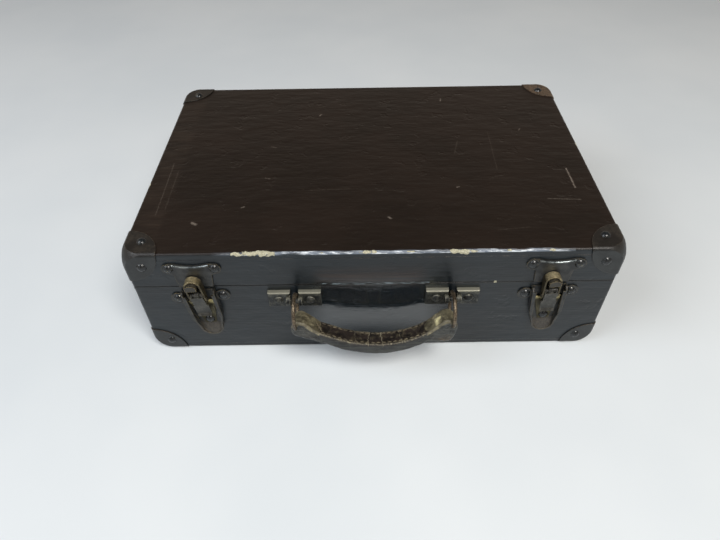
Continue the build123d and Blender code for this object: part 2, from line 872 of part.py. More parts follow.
def hinge_screws(z):
    """The round-head screws of both hinges at one height."""
    wall = Plane(origin=(0, back_y, 0), x_dir=(-1, 0, 0), z_dir=(0, 1, 0))
    points = [(s * hinge_spread + i * screw_spread, z) for s in (-1, 1) for i in (-1, 0, 1)]
    return round_heads(wall, points, hinge_leaf, screw_head, screw_dome, screw_shank, screw_depth)


hinge_base_screws = hinge_screws(hinge_z - screw_drop)
hinge_lid_screws = hinge_screws(hinge_z + screw_drop)
for side, sign in sides.items():
    with BuildPart() as base_leaf:
        add(hinge_leaf_body(sign * hinge_spread, False))
        add(hinge_base_screws, mode=Mode.SUBTRACT)
    with BuildPart() as lid_leaf:
        add(hinge_leaf_body(sign * hinge_spread, True))
        add(hinge_lid_screws, mode=Mode.SUBTRACT)
    save(base_leaf.part, f"hinge_{side}_base_leaf")
    save(lid_leaf.part, f"hinge_{side}_lid_leaf")
    save(hinge_pin_body(sign * hinge_spread), f"hinge_{side}_pin")
save(hinge_base_screws, "hinge_base_screws")
save(hinge_lid_screws, "hinge_lid_screws")


# Boards and panels, with the metal corners let in and the fastener holes drilled
def board_body(low, high, corners, fasteners):
    """A board cut to the box's rounded shape, with room for its corners and fasteners."""
    with BuildPart() as body:
        add(slab(low, high))
        add(wood_shape, mode=Mode.INTERSECT)
        for corner in corners.values():
            add(corner, mode=Mode.SUBTRACT)
        for group in fasteners:
            add(group, mode=Mode.SUBTRACT)
    return body.part


def wall_boards(low, high, front_extra, back_extra, corners, corner_group):
    """The four upright boards between two heights. The front and back ones run the full width."""
    walls = {
        "front": ((-side_x, front_y), (side_x, -inner_y), front_extra),
        "back": ((-side_x, inner_y), (side_x, back_y), back_extra),
        "left": ((-side_x, -inner_y), (-inner_x, inner_y), []),
        "right": ((inner_x, -inner_y), (side_x, inner_y), []),
    }
    boards = {}
    for name, (near, far, extra) in walls.items():
        boards[name] = board_body((*near, low), (*far, high), corners, [corner_group, *extra])
    return boards


base_front_extra = [latch_base_rivets.part, handle_bracket_rivets.part]
base_boards = wall_boards(
    bottom_panel, base_height, base_front_extra, [hinge_base_screws], base_corners, base_corner_rivets
)
for name, board_part in base_boards.items():
    save(board_part, f"base_{name}_board")
bottom = board_body((-side_x, front_y, 0), (side_x, back_y, bottom_panel), base_corners, [])
save(bottom, "base_bottom_panel")

panel_foot = case_top - top_panel
lid_boards = wall_boards(
    lid_rim_z, panel_foot, [latch_lid_rivets.part], [hinge_lid_screws], lid_corners, lid_corner_rivets
)
for name, board_part in lid_boards.items():
    save(board_part, f"lid_{name}_board")
top_low = (-side_x, front_y, panel_foot)
top_high = (side_x, back_y, case_top)
save(board_body(top_low, top_high, lid_corners, [lid_corner_rivets]), "lid_top_panel")

for (back, right), corner in base_corners.items():
    with BuildPart() as drilled:
        add(corner)
        add(base_corner_rivets, mode=Mode.SUBTRACT)
    save(drilled.part, f"base_corner_{back}_{right}")
for (back, right), corner in lid_corners.items():
    with BuildPart() as drilled:
        add(corner)
        add(lid_corner_rivets, mode=Mode.SUBTRACT)
    save(drilled.part, f"lid_corner_{back}_{right}")
save(base_corner_rivets, "base_corner_rivets")
save(lid_corner_rivets, "lid_corner_rivets")

# Rim strips: they line the base and stand up into the lid
strip_foot = base_height - strip_below
strip_top = base_height + strip_above
strip_inner_x = inner_x - strip_thick
strip_inner_y = inner_y - strip_thick
for name, sign in ends.items():
    with BuildPart() as rim_strip:
        near, far = sorted((sign * strip_inner_y, sign * inner_y))
        add(slab((-inner_x, near, strip_foot), (inner_x, far, base_height)))
        near, far = sorted((sign * strip_inner_y, sign * (inner_y - lid_fit)))
        add(slab((-inner_x + lid_fit, near, base_height), (inner_x - lid_fit, far, strip_top)))
    save(rim_strip.part, f"base_rim_strip_{name}")
for name, sign in sides.items():
    with BuildPart() as rim_strip:
        near, far = sorted((sign * strip_inner_x, sign * inner_x))
        add(slab((near, -strip_inner_y, strip_foot), (far, strip_inner_y, base_height)))
        near, far = sorted((sign * strip_inner_x, sign * (inner_x - lid_fit)))
        add(slab((near, -strip_inner_y, base_height), (far, strip_inner_y, strip_top)))
    save(rim_strip.part, f"base_rim_strip_{name}")

# Cleats: the instrument panel rests on them
cleat_top = base_height - cleat_drop
cleat_reach = inner_y - cleat_end_gap
for name, sign in sides.items():
    near, far = sorted((sign * (inner_x - cleat_side), sign * inner_x))
    cleat = slab((near, -cleat_reach, cleat_top - cleat_side), (far, cleat_reach, cleat_top))
    save(cleat, f"base_panel_cleat_{name}")
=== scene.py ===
# %% [markdown]
# A black wooden instrument case in Blender.
# The case is a painted wooden box with a hinged lid, stamped corners, two draw latches and a
# leather handle on steel rings. The hard pieces arrive as a fixed frame with their true shapes,
# so this lesson is about finishes: what each surface is made of, and how age has changed it. Only
# the leather is modelled here, because leather has seams, wrinkles and worn folds.

# %% Load the fixed frame and count its pieces
import bpy
import math
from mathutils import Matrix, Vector, noise


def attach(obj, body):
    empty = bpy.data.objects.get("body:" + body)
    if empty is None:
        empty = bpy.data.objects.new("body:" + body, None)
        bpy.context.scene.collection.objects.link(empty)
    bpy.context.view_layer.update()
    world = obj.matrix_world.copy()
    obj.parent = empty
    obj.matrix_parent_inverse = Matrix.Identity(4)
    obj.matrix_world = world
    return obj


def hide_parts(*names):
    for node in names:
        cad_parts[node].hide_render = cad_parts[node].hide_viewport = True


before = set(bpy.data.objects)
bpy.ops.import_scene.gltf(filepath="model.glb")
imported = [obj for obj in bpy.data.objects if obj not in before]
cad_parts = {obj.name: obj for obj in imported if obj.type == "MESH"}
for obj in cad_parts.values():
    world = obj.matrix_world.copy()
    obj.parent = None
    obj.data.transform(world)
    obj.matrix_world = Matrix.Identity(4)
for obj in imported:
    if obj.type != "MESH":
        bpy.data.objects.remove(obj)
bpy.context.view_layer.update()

from types import SimpleNamespace

MM = 0.001
print("pieces in the frame:", len(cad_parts))

# %% [markdown]
# The camera comes first, because every later choice is judged through it. The viewing place and
# angles were worked out from the straight edges of the box: the camera stands about 0.4 m in
# front of the case's middle and 0.4 m up, and looks down at 45 degrees through a short lens.

# %% Camera
SENSOR_WIDTH = 36.0
LENS = 27.8
CAMERA_PLACE = (-8.7, -424.8, 400.2)
CAMERA_TURN = (44.34, 0.734, -0.423)
CLIP_START = 0.01


def put(name, data):
    """Put an object with its data in the scene."""
    thing = bpy.data.objects.new(name, data)
    bpy.context.scene.collection.objects.link(thing)
    return thing


camera_data = bpy.data.cameras.new("camera")
camera_data.sensor_width = SENSOR_WIDTH
camera_data.lens = LENS
camera_data.clip_start = CLIP_START
camera = put("camera", camera_data)
camera.location = Vector(CAMERA_PLACE) * MM
camera.rotation_euler = [math.radians(a) for a in CAMERA_TURN]
bpy.context.scene.camera = camera
print("camera at", [round(c, 3) for c in camera.location], "lens", LENS)

# %% [markdown]
# Two small helpers carry the whole file. Paint charts give colours as sRGB hex, while shaders
# want linear light, so one function converts them. The other adds a shader node, sets it up and
# wires it in one go. Where a node is given as an input, its first output in use is meant.

# %% Colour and node helpers
# The three kinds of node that are used most.
VECTOR, MATH, RANGE = "ShaderNodeVectorMath", "ShaderNodeMath", "ShaderNodeMapRange"


def linear(colour):
    """Turn an sRGB hex colour such as 8a7440 into linear RGBA, by the sRGB curve."""
    channels = []
    for start in (0, 2, 4):
        value = int(colour[start : start + 2], 16) / 255
        channels.append(value / 12.92 if value <= 0.04045 else ((value + 0.055) / 1.055) ** 2.4)
    return (*channels, 1.0)


def add(tree, kind, inputs=None, **settings):
    """Add a node: settings are its options, and inputs are values, sockets or whole nodes."""
    node = tree.nodes.new(kind)
    for name, value in settings.items():
        setattr(node, name, value)
    for key, value in (inputs or {}).items():
        if isinstance(value, bpy.types.Node):
            value = next(output for output in value.outputs if output.enabled)
        if isinstance(value, bpy.types.NodeSocket):
            tree.links.new(value, node.inputs[key])
        else:
            node.inputs[key].default_value = value
    return node


print("the lid's black in linear light:", [round(c, 4) for c in linear("130c07")])

# %% [markdown]
# Every finish starts from a position in millimetres, so that each pattern has a real size. Then
# come the ingredients of old paint and metal: cloudy mottling, coats laid over each other through
# masks, a mask for one region of the object, and worn edges, where hands and tables rub the coat
# away. The worn edge compares the true surface direction with one that was rounded over a small
# radius. They differ only near an edge, so this needs no extra geometry.

# %% Ingredients: place, mottling and coats
def start_material(name):
    """A new material with its tree and a position in millimetres."""
    material = bpy.data.materials.new(name)
    material.use_nodes = True
    tree = material.node_tree
    tree.nodes.clear()
    metres = add(tree, "ShaderNodeTexCoord").outputs["Object"]
    place = add(tree, VECTOR, {0: metres, 3: 1 / MM}, operation="SCALE")
    return material, tree, place


def mottling(
    tree, place, size, low=0.35, high=0.65, detail=5.0, rough=0.55, stretch=(1, 1, 1), shift=0.0
):
    """A cloudy mask with lumps of about size millimetres. It is 0 under low and 1 over high."""
    scale = [1 / (size * s) for s in stretch]
    start = (shift, 0.7 * shift, -shift)
    moved = add(tree, "ShaderNodeMapping", {"Vector": place, "Scale": scale, "Location": start})
    look = {"Vector": moved, "Scale": 1.0, "Detail": detail, "Roughness": rough}
    cloud = add(tree, "ShaderNodeTexNoise", look)
    limits = {"Value": cloud, "From Min": low, "From Max": high}
    return add(tree, RANGE, limits, interpolation_type="SMOOTHSTEP")


def coats(tree, ground, layers):
    """Lay coats over a ground, a colour or a gloss. Each coat has masks, strength and value."""
    plain = isinstance(ground, float)
    under, over = (2, 3) if plain else (6, 7)
    result = linear(ground) if isinstance(ground, str) else ground
    for masks, strength, value in layers:
        share = strength
        for mask in masks:
            share = add(tree, MATH, {0: mask, 1: share}, operation="MULTIPLY")
        value = linear(value) if isinstance(value, str) else value
        settings = {"data_type": "FLOAT" if plain else "RGBA"}
        result = add(tree, "ShaderNodeMix", {0: share, under: result, over: value}, **settings)
    return result


print("ingredients ready: place, mottling, coats")

# %% Ingredients: regions, directions, edges and relief
EDGE_SAMPLES = 4


def region(tree, place, low, high, soft):
    """White in the box between two corners, fading out over soft millimetres round it."""
    centre = [(a + b) / 2 for a, b in zip(low, high)]
    half = [(b - a) / 2 for a, b in zip(low, high)]
    away = add(tree, VECTOR, {0: place, 1: centre}, operation="SUBTRACT")
    away = add(tree, VECTOR, {0: away}, operation="ABSOLUTE")
    past = add(tree, VECTOR, {0: away, 1: half}, operation="SUBTRACT")
    past = add(tree, VECTOR, {0: past, 1: (0, 0, 0)}, operation="MAXIMUM")
    gap = add(tree, VECTOR, {0: past}, operation="LENGTH")
    return add(tree, RANGE, {"Value": gap.outputs["Value"], "From Min": soft, "From Max": 0.0})


def facing(tree, direction, low, high):
    """White where the surface looks towards a direction."""
    normal = add(tree, "ShaderNodeTexCoord").outputs["Normal"]
    aim = add(tree, VECTOR, {0: normal, 1: direction}, operation="DOT_PRODUCT")
    return add(tree, RANGE, {"Value": aim.outputs["Value"], "From Min": low, "From Max": high})


def worn_edges(tree, radius, low=0.02, high=0.16):
    """White along edges that are sharper than the radius, in millimetres."""
    rounded = add(tree, "ShaderNodeBevel", {"Radius": radius * MM}, samples=EDGE_SAMPLES)
    true = add(tree, "ShaderNodeNewGeometry").outputs["True Normal"]
    same = add(tree, VECTOR, {0: rounded, 1: true}, operation="DOT_PRODUCT")
    limits = {"Value": same.outputs["Value"], "From Min": 1 - low, "From Max": 1 - high}
    return add(tree, RANGE, limits, interpolation_type="SMOOTHSTEP")


def relief(tree, layers, rounding=0.0):
    """Stack bumps: each layer is a height mask and its height in millimetres."""
    normal = None
    if rounding:
        normal = add(tree, "ShaderNodeBevel", {"Radius": rounding * MM}, samples=EDGE_SAMPLES)
    for height, depth in layers:
        inputs = {"Height": height, "Distance": abs(depth) * MM, "Strength": 1.0}
        if normal is not None:
            inputs["Normal"] = normal
        normal = add(tree, "ShaderNodeBump", inputs, invert=depth < 0)
    return normal


def close_material(tree, colour, gloss, normal=None, others=None):
    """End a material with one shader. Its other inputs are given by name."""
    inputs = {"Base Color": colour, "Roughness": gloss, **(others or {})}
    if normal is not None:
        inputs["Normal"] = normal
    shader = add(tree, "ShaderNodeBsdfPrincipled", inputs)
    add(tree, "ShaderNodeOutputMaterial", {"Surface": shader})


print("ingredients ready: region, facing, worn_edges, relief")

# %% [markdown]
# The case is a softwood box under thick black oil enamel, brushed on along the boards. Where a
# knock went through the enamel, the cream ground coat shows with a ragged outline. The chips and
# scratches sit where the real ones do, so they are listed by their real places.

# %% Chips along the edges
# Each chip: centre x, y, z and half sizes along x, y, z in millimetres.
CHIPS = [
    ((-92, -126.2, 113.4), (8.5, 2.3, 1.7)),
    ((-83, -125.5, 113), (5.5, 2.4, 2.4)),
    ((-76.5, -126.2, 113.2), (3.6, 1.5, 1.6)),
    ((-102.5, -126.3, 113), (4, 1.4, 1.8)),
    ((-5, -126.3, 113.4), (4.6, 1.4, 1.4)),
    ((0.5, -125.8, 113.5), (2, 1.6, 1.2)),
    ((60.5, -126, 113.2), (4.6, 2, 2)),
    ((67.5, -126.2, 112.9), (5, 1.7, 2.4)),
    ((74.5, -126.4, 113.4), (3, 1.2, 1.3)),
    ((96, -126.5, 79.6), (1.2, 1, 1.2)),
    ((-38, -126.3, 113.6), (2.2, 0.9, 0.8)),
    ((28, -126.3, 113.6), (3, 0.9, 0.8)),
    ((101, -126.3, 113.6), (2.6, 0.9, 0.9)),
    ((134, -126.2, 113.4), (2.6, 1, 1)),
    ((189.6, 12, 113.2), (1.3, 4, 1.4)),
    ((-189.6, -40, 113.4), (1.1, 3.4, 1.2)),
    ((-60, 126.2, 113.4), (5, 1.2, 1.2)),
    ((84, 126.2, 1.2), (4, 1.2, 1.4)),
]
# How far two sizes of noise tear a chip's outline, and where the outline lies, in half sizes.
COARSE_TEAR, FINE_TEAR = 2.0, 0.6
CHIP_INSIDE, CHIP_OUTSIDE = 1.22, 1.36
FAR_FROM_CHIPS = 9.0


def chips(tree, place):
    """White inside any chip, with a torn outline."""
    coarse = add(tree, "ShaderNodeTexNoise", {"Vector": place, "Scale": 0.34, "Detail": 2.0})
    look = {"Vector": place, "Scale": 1.3, "Detail": 3.0, "Roughness": 0.6}
    fine = add(tree, "ShaderNodeTexNoise", look)
    tear = {0: coarse, 1: COARSE_TEAR, 2: -COARSE_TEAR / 2}
    torn = add(tree, MATH, tear, operation="MULTIPLY_ADD")
    torn = add(tree, MATH, {0: fine, 1: FINE_TEAR, 2: torn}, operation="MULTIPLY_ADD")
    nearest = FAR_FROM_CHIPS
    for centre, half in CHIPS:
        away = add(tree, VECTOR, {0: place, 1: centre}, operation="SUBTRACT")
        scaled = add(tree, VECTOR, {0: away, 1: half}, operation="DIVIDE")
        reach = add(tree, VECTOR, {0: scaled}, operation="LENGTH").outputs["Value"]
        nearest = add(tree, MATH, {0: nearest, 1: reach}, operation="MINIMUM")
    total = add(tree, MATH, {0: nearest, 1: torn}, operation="ADD")
    return add(tree, RANGE, {"Value": total, "From Min": CHIP_OUTSIDE, "From Max": CHIP_INSIDE})


print(len(CHIPS), "chips")

# %% Scratches on the lid
# Each scratch: start x, y and end x, y and half width in millimetres, and strength.
SCRATCHES = [
    ((169.7, -25), (170.2, -52), 0.8, 0.9),
    ((144, -66.5), (170, -68), 0.7, 0.35),
    ((111.5, 34), (110, -25), 0.5, 0.16),
    ((76, 0), (81, 20), 0.5, 0.25),
    ((-48.6, 69), (-47, 71.5), 0.8, 0.9),
    ((73.4, 94.5), (74, 99), 0.7, 0.85),
    ((141.5, 37.5), (143, 40), 0.6, 0.7),
    ((71.8, -49.5), (74, -48.5), 0.7, 0.6),
    ((-52, -50.5), (-18, -49.5), 0.5, 0.18),
    ((-106, -72.5), (-104, -71.5), 0.7, 0.7),
    ((-142.5, -90.5), (-139.5, -92.5), 1.3, 0.95),
    ((12.8, -87), (14.6, -88.4), 1, 0.8),
    ((-90.5, 15.5), (-86, 14), 0.6, 0.5),
    ((-91, -32.5), (-86.5, -34), 0.6, 0.5),
    ((-175, -9), (-174, -80), 0.6, 0.2),
    ((-168.5, -20), (-168, -74), 0.5, 0.15),
    ((96, -104), (122, -101), 0.5, 0.15),
]
# The noise that breaks a line up, in millimetres: how much it varies, and its least value.
LINE_WOBBLE, LINE_WOBBLE_LOW = 1.6, -0.6
# Where a line is full and where it ends, in half widths, and how much it covers at the most.
LINE_FULL, LINE_END, LINE_COVER = 0.2, 1.5, 0.8
LID_TOP = ((-200, -200, 113.5), (200, 200, 115), 0.4)


def scratches(tree, place):
    """Thin light lines on the lid, each between two points, with a broken outline."""
    flat = add(tree, VECTOR, {0: place, 1: (1, 1, 0)}, operation="MULTIPLY")
    broken = add(tree, "ShaderNodeTexNoise", {"Vector": place, "Scale": 0.7, "Detail": 4.0})
    steps = {0: broken, 1: LINE_WOBBLE, 2: LINE_WOBBLE_LOW}
    wobble = add(tree, MATH, steps, operation="MULTIPLY_ADD")
    found = 0.0
    for start, end, half_width, strength in SCRATCHES:
        along = Vector((end[0] - start[0], end[1] - start[1], 0))
        step = along / along.length_squared
        away = add(tree, VECTOR, {0: flat, 1: (*start, 0)}, operation="SUBTRACT")
        way = add(tree, VECTOR, {0: away, 1: step}, operation="DOT_PRODUCT").outputs["Value"]
        share = add(tree, MATH, {0: way, 1: 0.0}, operation="ADD", use_clamp=True)
        near = add(tree, VECTOR, {0: along, 3: share}, operation="SCALE")
        gap = add(tree, VECTOR, {0: away, 1: near}, operation="DISTANCE")
        gap = add(tree, MATH, {0: gap.outputs["Value"], 1: wobble}, operation="ADD")
        edges = {"From Min": LINE_END * half_width, "From Max": LINE_FULL * half_width}
        limits = {"Value": gap, **edges, "To Max": LINE_COVER * strength}
        line = add(tree, RANGE, limits)
        found = add(tree, MATH, {0: found, 1: line}, operation="MAXIMUM")
    on_top = region(tree, place, *LID_TOP)
    return add(tree, MATH, {0: found, 1: on_top}, operation="MULTIPLY")


print(len(SCRATCHES), "scratches")

# %% [markdown]
# The enamel. Its gloss matters more than its colour, because black shows what it reflects: the
# front shows the pale table and looks blue grey, while the lid looks brown. The front's colour is
# also tinted blue grey, as a painted reflection of the table. A clean oil enamel has a roughness
# near 0.2, and age and dust raise it to about 0.4. The brush ridges run along the boards, so their
# noise is stretched 34 times longer along x, or along y on the side boards.
# Between the handle's brackets hands have polished the front, so there the roughness drops and
# the ridges fade, and the colour there is painted a little bluer, as a painted reflection. Along
# the front edge of the lid the polish is worn through to a pale haze, with a bluish white highlight
# painted along it.

# %% Places and patterns of the enamel
# Each place: two corners of a box, and how far its mask fades out round it, in millimetres. The
# front run is the stretch of the front edge that is rubbed pale and carries a painted highlight,
# and the painted brown reflection lies on the front just above the split.
PLACES = {
    "front_edge": ((-132, -127.5, 112.4), (150, -125.2, 115), 0.8),
    "front_run": ((-84, -130, 100), (122, -120, 120), 38.0),
    "tea": ((-38, -128, 84), (32, -125, 89), 12.0),
    "left_strip": ((-185, -110, 113), (-169, 110, 115), 5.0),
    "inside": ((-182.05, -118.55, 4.95), (182.05, 118.55, 108.05), 0.02),
    "polish": ((-38, -127.5, 38), (42, -126, 72), 18.0),
    "split": ((-190, -128, 78.3), (190, -125, 80.6), 0.4),
    "split_glint": ((-42, -128, 79.3), (44, -125.8, 80.3), 0.5),
}


def brush_ridges(tree, place):
    """Ridges a millimetre and a half apart, left by a bristle brush along each board."""
    along_x = mottling(tree, place, 1.5, 0.2, 0.8, stretch=(34, 1, 1))
    along_y = mottling(tree, place, 1.5, 0.2, 0.8, stretch=(1, 34, 1))
    right, left = facing(tree, (1, 0, 0), 0.6, 0.8), facing(tree, (-1, 0, 0), 0.6, 0.8)
    side_board = add(tree, MATH, {0: right, 1: left}, operation="MAXIMUM")
    return add(tree, "ShaderNodeMix", {0: side_board, 2: along_x, 3: along_y})


def enamel_masks(tree, place):
    """Every mask of the enamel by name: the places above, and the patterns all over it."""
    return SimpleNamespace(
        **{name: region(tree, place, *box) for name, box in PLACES.items()},
        ridges=brush_ridges(tree, place),
        broad=mottling(tree, place, 70.0, shift=2.0),
        runs=mottling(tree, place, 9.0, 0.2, 0.8, detail=2.0, stretch=(2.4, 1, 1), shift=4.0),
        dents=mottling(tree, place, 13.0, 0.30, 0.40, detail=3.0, shift=9.0),
        grit=mottling(tree, place, 0.5, 0.2, 0.8, detail=3.0),
        lid=facing(tree, (0, 0, 1), 0.3, 0.9),
        knocked=chips(tree, place),
        scratched=scratches(tree, place),
        edges=worn_edges(tree, 2.0),
        patches=mottling(tree, place, 7.0, 0.50, 0.62, detail=4.0, shift=6.0),
        crumbs=mottling(tree, place, 1.1, 0.42, 0.60),
        streaks=mottling(tree, place, 0.9, 0.50, 0.60, stretch=(9, 1, 1), shift=11.0),
        rub_and_glint=mottling(tree, place, 7.0, 0.34, 0.50, detail=4.0, stretch=(5, 1, 1), shift=14.0),
        specks=mottling(tree, place, 1.3, 0.735, 0.78, detail=2.0, shift=12.0),
        grain=mottling(tree, place, 2.2, 0.3, 0.7, detail=6.0, stretch=(26, 1.6, 1), shift=3.0),
    )


print("places with a look of their own:", ", ".join(PLACES))

# %% Black brushed enamel over wood
def enamel_colour(tree, m):
    """Black enamel with its wear, chips, painted reflections and highlights, and bare wood inside.
    """
    wood = coats(tree, "8a6a45", [([m.grain], 1.0, "b08d61"), ([m.broad], 0.6, "6d5235")])
    cream = coats(tree, "a19e86", [([m.crumbs], 1.0, "bebca6")])
    lid = coats(tree, "130c07", [([m.broad], 1.0, "1a110b"), ([m.ridges], 0.25, "241910")])
    lid = coats(tree, lid, [([m.left_strip, m.ridges, m.runs], 0.6, "362c24")])
    # The front's blue grey is a painted reflection of the cool table, and the hand polish is
    # painted bluer still.
    wall_with_painted_reflection = coats(tree, "050b0f", [([m.broad], 1.0, "0a141a"), ([m.ridges], 0.25, "16222a")])
    wall_with_painted_reflection = coats(tree, wall_with_painted_reflection, [([m.polish], 0.3, "0a161d")])
    layers = [
        ([m.lid], 1.0, lid),
        # A painted reflection, brown, on the front just above the split.
        ([m.tea, m.ridges], 0.8, "33251c"),
        ([m.edges, m.patches, m.crumbs], 0.7, "5c5146"),
        ([m.split], 0.85, "0b0f11"),
        ([m.split_glint, m.streaks], 0.8, "8fa0a8"),
        # The lid's rubbed front edge: real pale wear under a painted bluish white highlight.
        ([m.front_edge, m.front_run, m.rub_and_glint], 0.8, "7d8896"),
        ([m.front_edge, m.front_run, m.rub_and_glint, m.streaks], 1.0, "dfe7ee"),
        ([m.scratched, m.crumbs], 0.6, "a2978a"),
        ([m.scratched], 0.5, "8c8278"),
        ([m.specks], 0.35, "6e6455"),
        ([m.knocked], 1.0, cream),
        ([m.inside], 1.0, wood),
    ]
    return coats(tree, wall_with_painted_reflection, layers)


def enamel_over_wood():
    """The whole finish: colour, gloss, relief and the polish behind the handle."""
    material, tree, place = start_material("black_oil_enamel_over_wood")
    m = enamel_masks(tree, place)
    dulled = [([m.broad], 1.0, 0.38), ([m.lid], 0.6, 0.42), ([m.grit], 0.25, 0.5)]
    others = [([m.polish], 0.8, 0.12), ([m.knocked], 1.0, 0.75), ([m.inside], 1.0, 0.62)]
    gloss = coats(tree, 0.30, dulled + others)
    calm = coats(tree, 1.0, [([m.polish], 0.65, 0.0), ([m.lid], 0.4, 0.0)])
    ridges = add(tree, MATH, {0: m.ridges, 1: calm}, operation="MULTIPLY")
    layers = [(ridges, 0.07), (m.runs, 0.26), (m.dents, 0.18), (m.grit, 0.007)]
    layers += [(m.knocked, -0.35), (m.scratched, -0.12)]
    normal = relief(tree, layers, rounding=0.8)
    polished = {"Coat Weight": m.polish, "Coat Roughness": 0.08}
    close_material(tree, enamel_colour(tree, m), gloss, normal, polished)
    return material


enamel = enamel_over_wood()
print("enamel has", len(enamel.node_tree.nodes), "nodes")

# %% [markdown]
# Inside the rim stand thin strips of bare softwood that guide the lid, and two cleats. Bare wood
# is matt, with a roughness near 0.6, and its rings show as long streaks a millimetre or two
# apart.

# %% Bare softwood
def bare_wood(name, grain_way):
    """Sawn softwood, matt, with its grain stretched along one way."""
    material, tree, place = start_material(name)
    rings = mottling(tree, place, 1.8, 0.3, 0.7, detail=6.0, rough=0.62, stretch=grain_way)
    pores = mottling(tree, place, 0.5, 0.62, 0.75, detail=3.0, stretch=grain_way, shift=5.0)
    stain = mottling(tree, place, 40.0, 0.5, 0.8, detail=4.0, shift=1.0)
    layers = [([rings], 1.0, "b79466"), ([stain], 1.0, "6a5034"), ([pores], 1.0, "5a4127")]
    colour = coats(tree, "8d6c46", layers)
    gloss = coats(tree, 0.55, [([stain], 1.0, 0.7)])
    normal = relief(tree, [(rings, 0.06), (pores, -0.05)])
    close_material(tree, colour, gloss, normal)
    return material


softwood_x = bare_wood("sawn_softwood_long", (30, 1, 1))
softwood_y = bare_wood("sawn_softwood_side", (1, 30, 1))
print("softwood ready")

# %% [markdown]
# The corners are stamped from thin steel and painted over with the same black enamel as the box.
# Thumbs and shelves have dulled the lobes on the lid and left light rims where the metal ends.
# The rear right lobe is rubbed to a warm brown. The front faces still match the box.

# %% Painted steel corners
REAR_RIGHT_LOBE = ((150, 95, 113), (195, 130, 117), 8.0)


def age_masks(tree, place, lump, speck, edge, low=0.38, worn=0.22):
    """The masks that all metal shares: clouds, fine mottling and worn rims."""
    cloud = mottling(tree, place, lump, low, 0.62, shift=3.0)
    fine = mottling(tree, place, speck, rough=0.65, shift=7.0)
    return cloud, fine, worn_edges(tree, edge, 0.01, worn)


def painted_corner():
    """Black paint on stamped steel, rubbed on top and along its rims."""
    material, tree, place = start_material("painted_steel_corner")
    cloud, fine, rims = age_masks(tree, place, 10.0, 1.3, 0.8, worn=0.2)
    top = facing(tree, (0, 0, 1), 0.5, 0.9)
    rear_right = region(tree, place, *REAR_RIGHT_LOBE)
    rust = mottling(tree, place, 0.9, 0.68, 0.76, detail=2.0, shift=15.0)
    layers = [
        ([cloud], 1.0, "1b1f20"),
        ([top], 0.75, "1d1915"),
        ([top, cloud, fine], 0.6, "3b352d"),
        ([rear_right, fine], 0.8, "86705a"),
        ([rims, fine], 0.35, "6f6557"),
        ([rims, top, fine], 0.7, "857766"),
        ([rust], 0.5, "3a2415"),
    ]
    colour = coats(tree, "101314", layers)
    bare = coats(tree, 0.0, [([rims, top, fine], 1.0, 0.6), ([rear_right, fine], 1.0, 0.4)])
    gloss = coats(tree, 0.30, [([fine], 1.0, 0.44), ([top], 0.5, 0.5)])
    normal = relief(tree, [(cloud, 0.06), (fine, 0.03)], rounding=0.5)
    close_material(tree, colour, gloss, normal, {"Metallic": bare})
    return material


corner_finish = painted_corner()
print("corners ready")

# %% [markdown]
# The latches were painted over with the case, so their plates are black too, with warm metal at
# the rims. What slides or is gripped is bare: the rolled rim of the upper plate is rubbed to
# white metal, with a painted highlight on its upward side, the hook to brass, and the finger ramp
# at the foot to a dusty grey brown.

# %% Latch plates
# Boxes on the right latch, with the signs of x and y left off. The left one mirrors them.
ROLLED_RIM = ((124, 128.6, 98.5), (154, 131, 108), 0.6)
HOOK = ((132, 135, 85), (146, 142, 99), 1.0)
FINGER_RAMP = ((126, 127.5, 20), (148, 134, 36), 3.0)


def latch_plates():
    """Painted latch plates with rubbed rims, hooks and finger ramps, and a painted rim highlight.
    """
    material, tree, place = start_material("painted_latch_plate")
    cloud, fine, rims = age_masks(tree, place, 6.0, 1.1, 0.5)
    mirrored = add(tree, VECTOR, {0: place}, operation="ABSOLUTE")
    rim, upward = region(tree, mirrored, *ROLLED_RIM), facing(tree, (0, 0, 1), 0.1, 0.7)
    rim_wear_and_highlight = add(tree, MATH, {0: rim, 1: upward}, operation="MULTIPLY")
    hook = region(tree, mirrored, *HOOK)
    ramp = region(tree, mirrored, *FINGER_RAMP)
    layers = [
        ([cloud], 1.0, "2b2d2d"),
        ([fine, cloud], 0.35, "3d3b36"),
        ([rims, fine], 0.8, "a08d5e"),
        ([ramp, fine], 0.5, "625b52"),
        ([ramp], 0.25, "45423c"),
        # The rolled rim's upward side: worn white metal under a painted highlight.
        ([rim_wear_and_highlight], 0.6, "565e60"),
        ([rim_wear_and_highlight, cloud], 0.8, "9aa2a3"),
        ([hook], 0.7, "3f3c36"),
        ([hook, rims], 0.8, "b59f6a"),
    ]
    colour = coats(tree, "17191a", layers)
    bare = coats(tree, 0.15, [([rims, fine], 1.0, 0.8), ([rim_wear_and_highlight], 1.0, 0.6), ([hook], 1.0, 0.5)])
    gloss = coats(tree, 0.34, [([fine], 1.0, 0.48), ([ramp], 1.0, 0.55), ([rim_wear_and_highlight], 1.0, 0.24)])
    normal = relief(tree, [(cloud, 0.05), (fine, 0.025)], rounding=0.35)
    close_material(tree, colour, gloss, normal, {"Metallic": bare})
    return material


plate_finish = latch_plates()
print("latch plates ready")

# %% [markdown]
# The small pieces share one recipe, because they are all metal dulled by age: tarnish in the
# hollows, a brighter tone where it is rubbed, and fine pits. Metal keeps a high metallic value,
# and tarnish lowers it. Two heights can be given between which the metal turns from dark to
# bright: painted shade low down in the latch, and a painted highlight up high, over real wear
# where the brass links' crowns rub on the hooks. The handle's brackets are steel under black
# paint, so there the dark tone is paint, and everything that looks up above a given height gets
# a painted highlight, as if lit from above.

# %% Dull metal
EVERYWHERE_LOW, EVERYWHERE_HIGH = (-200, -200), (200, 200, 200)


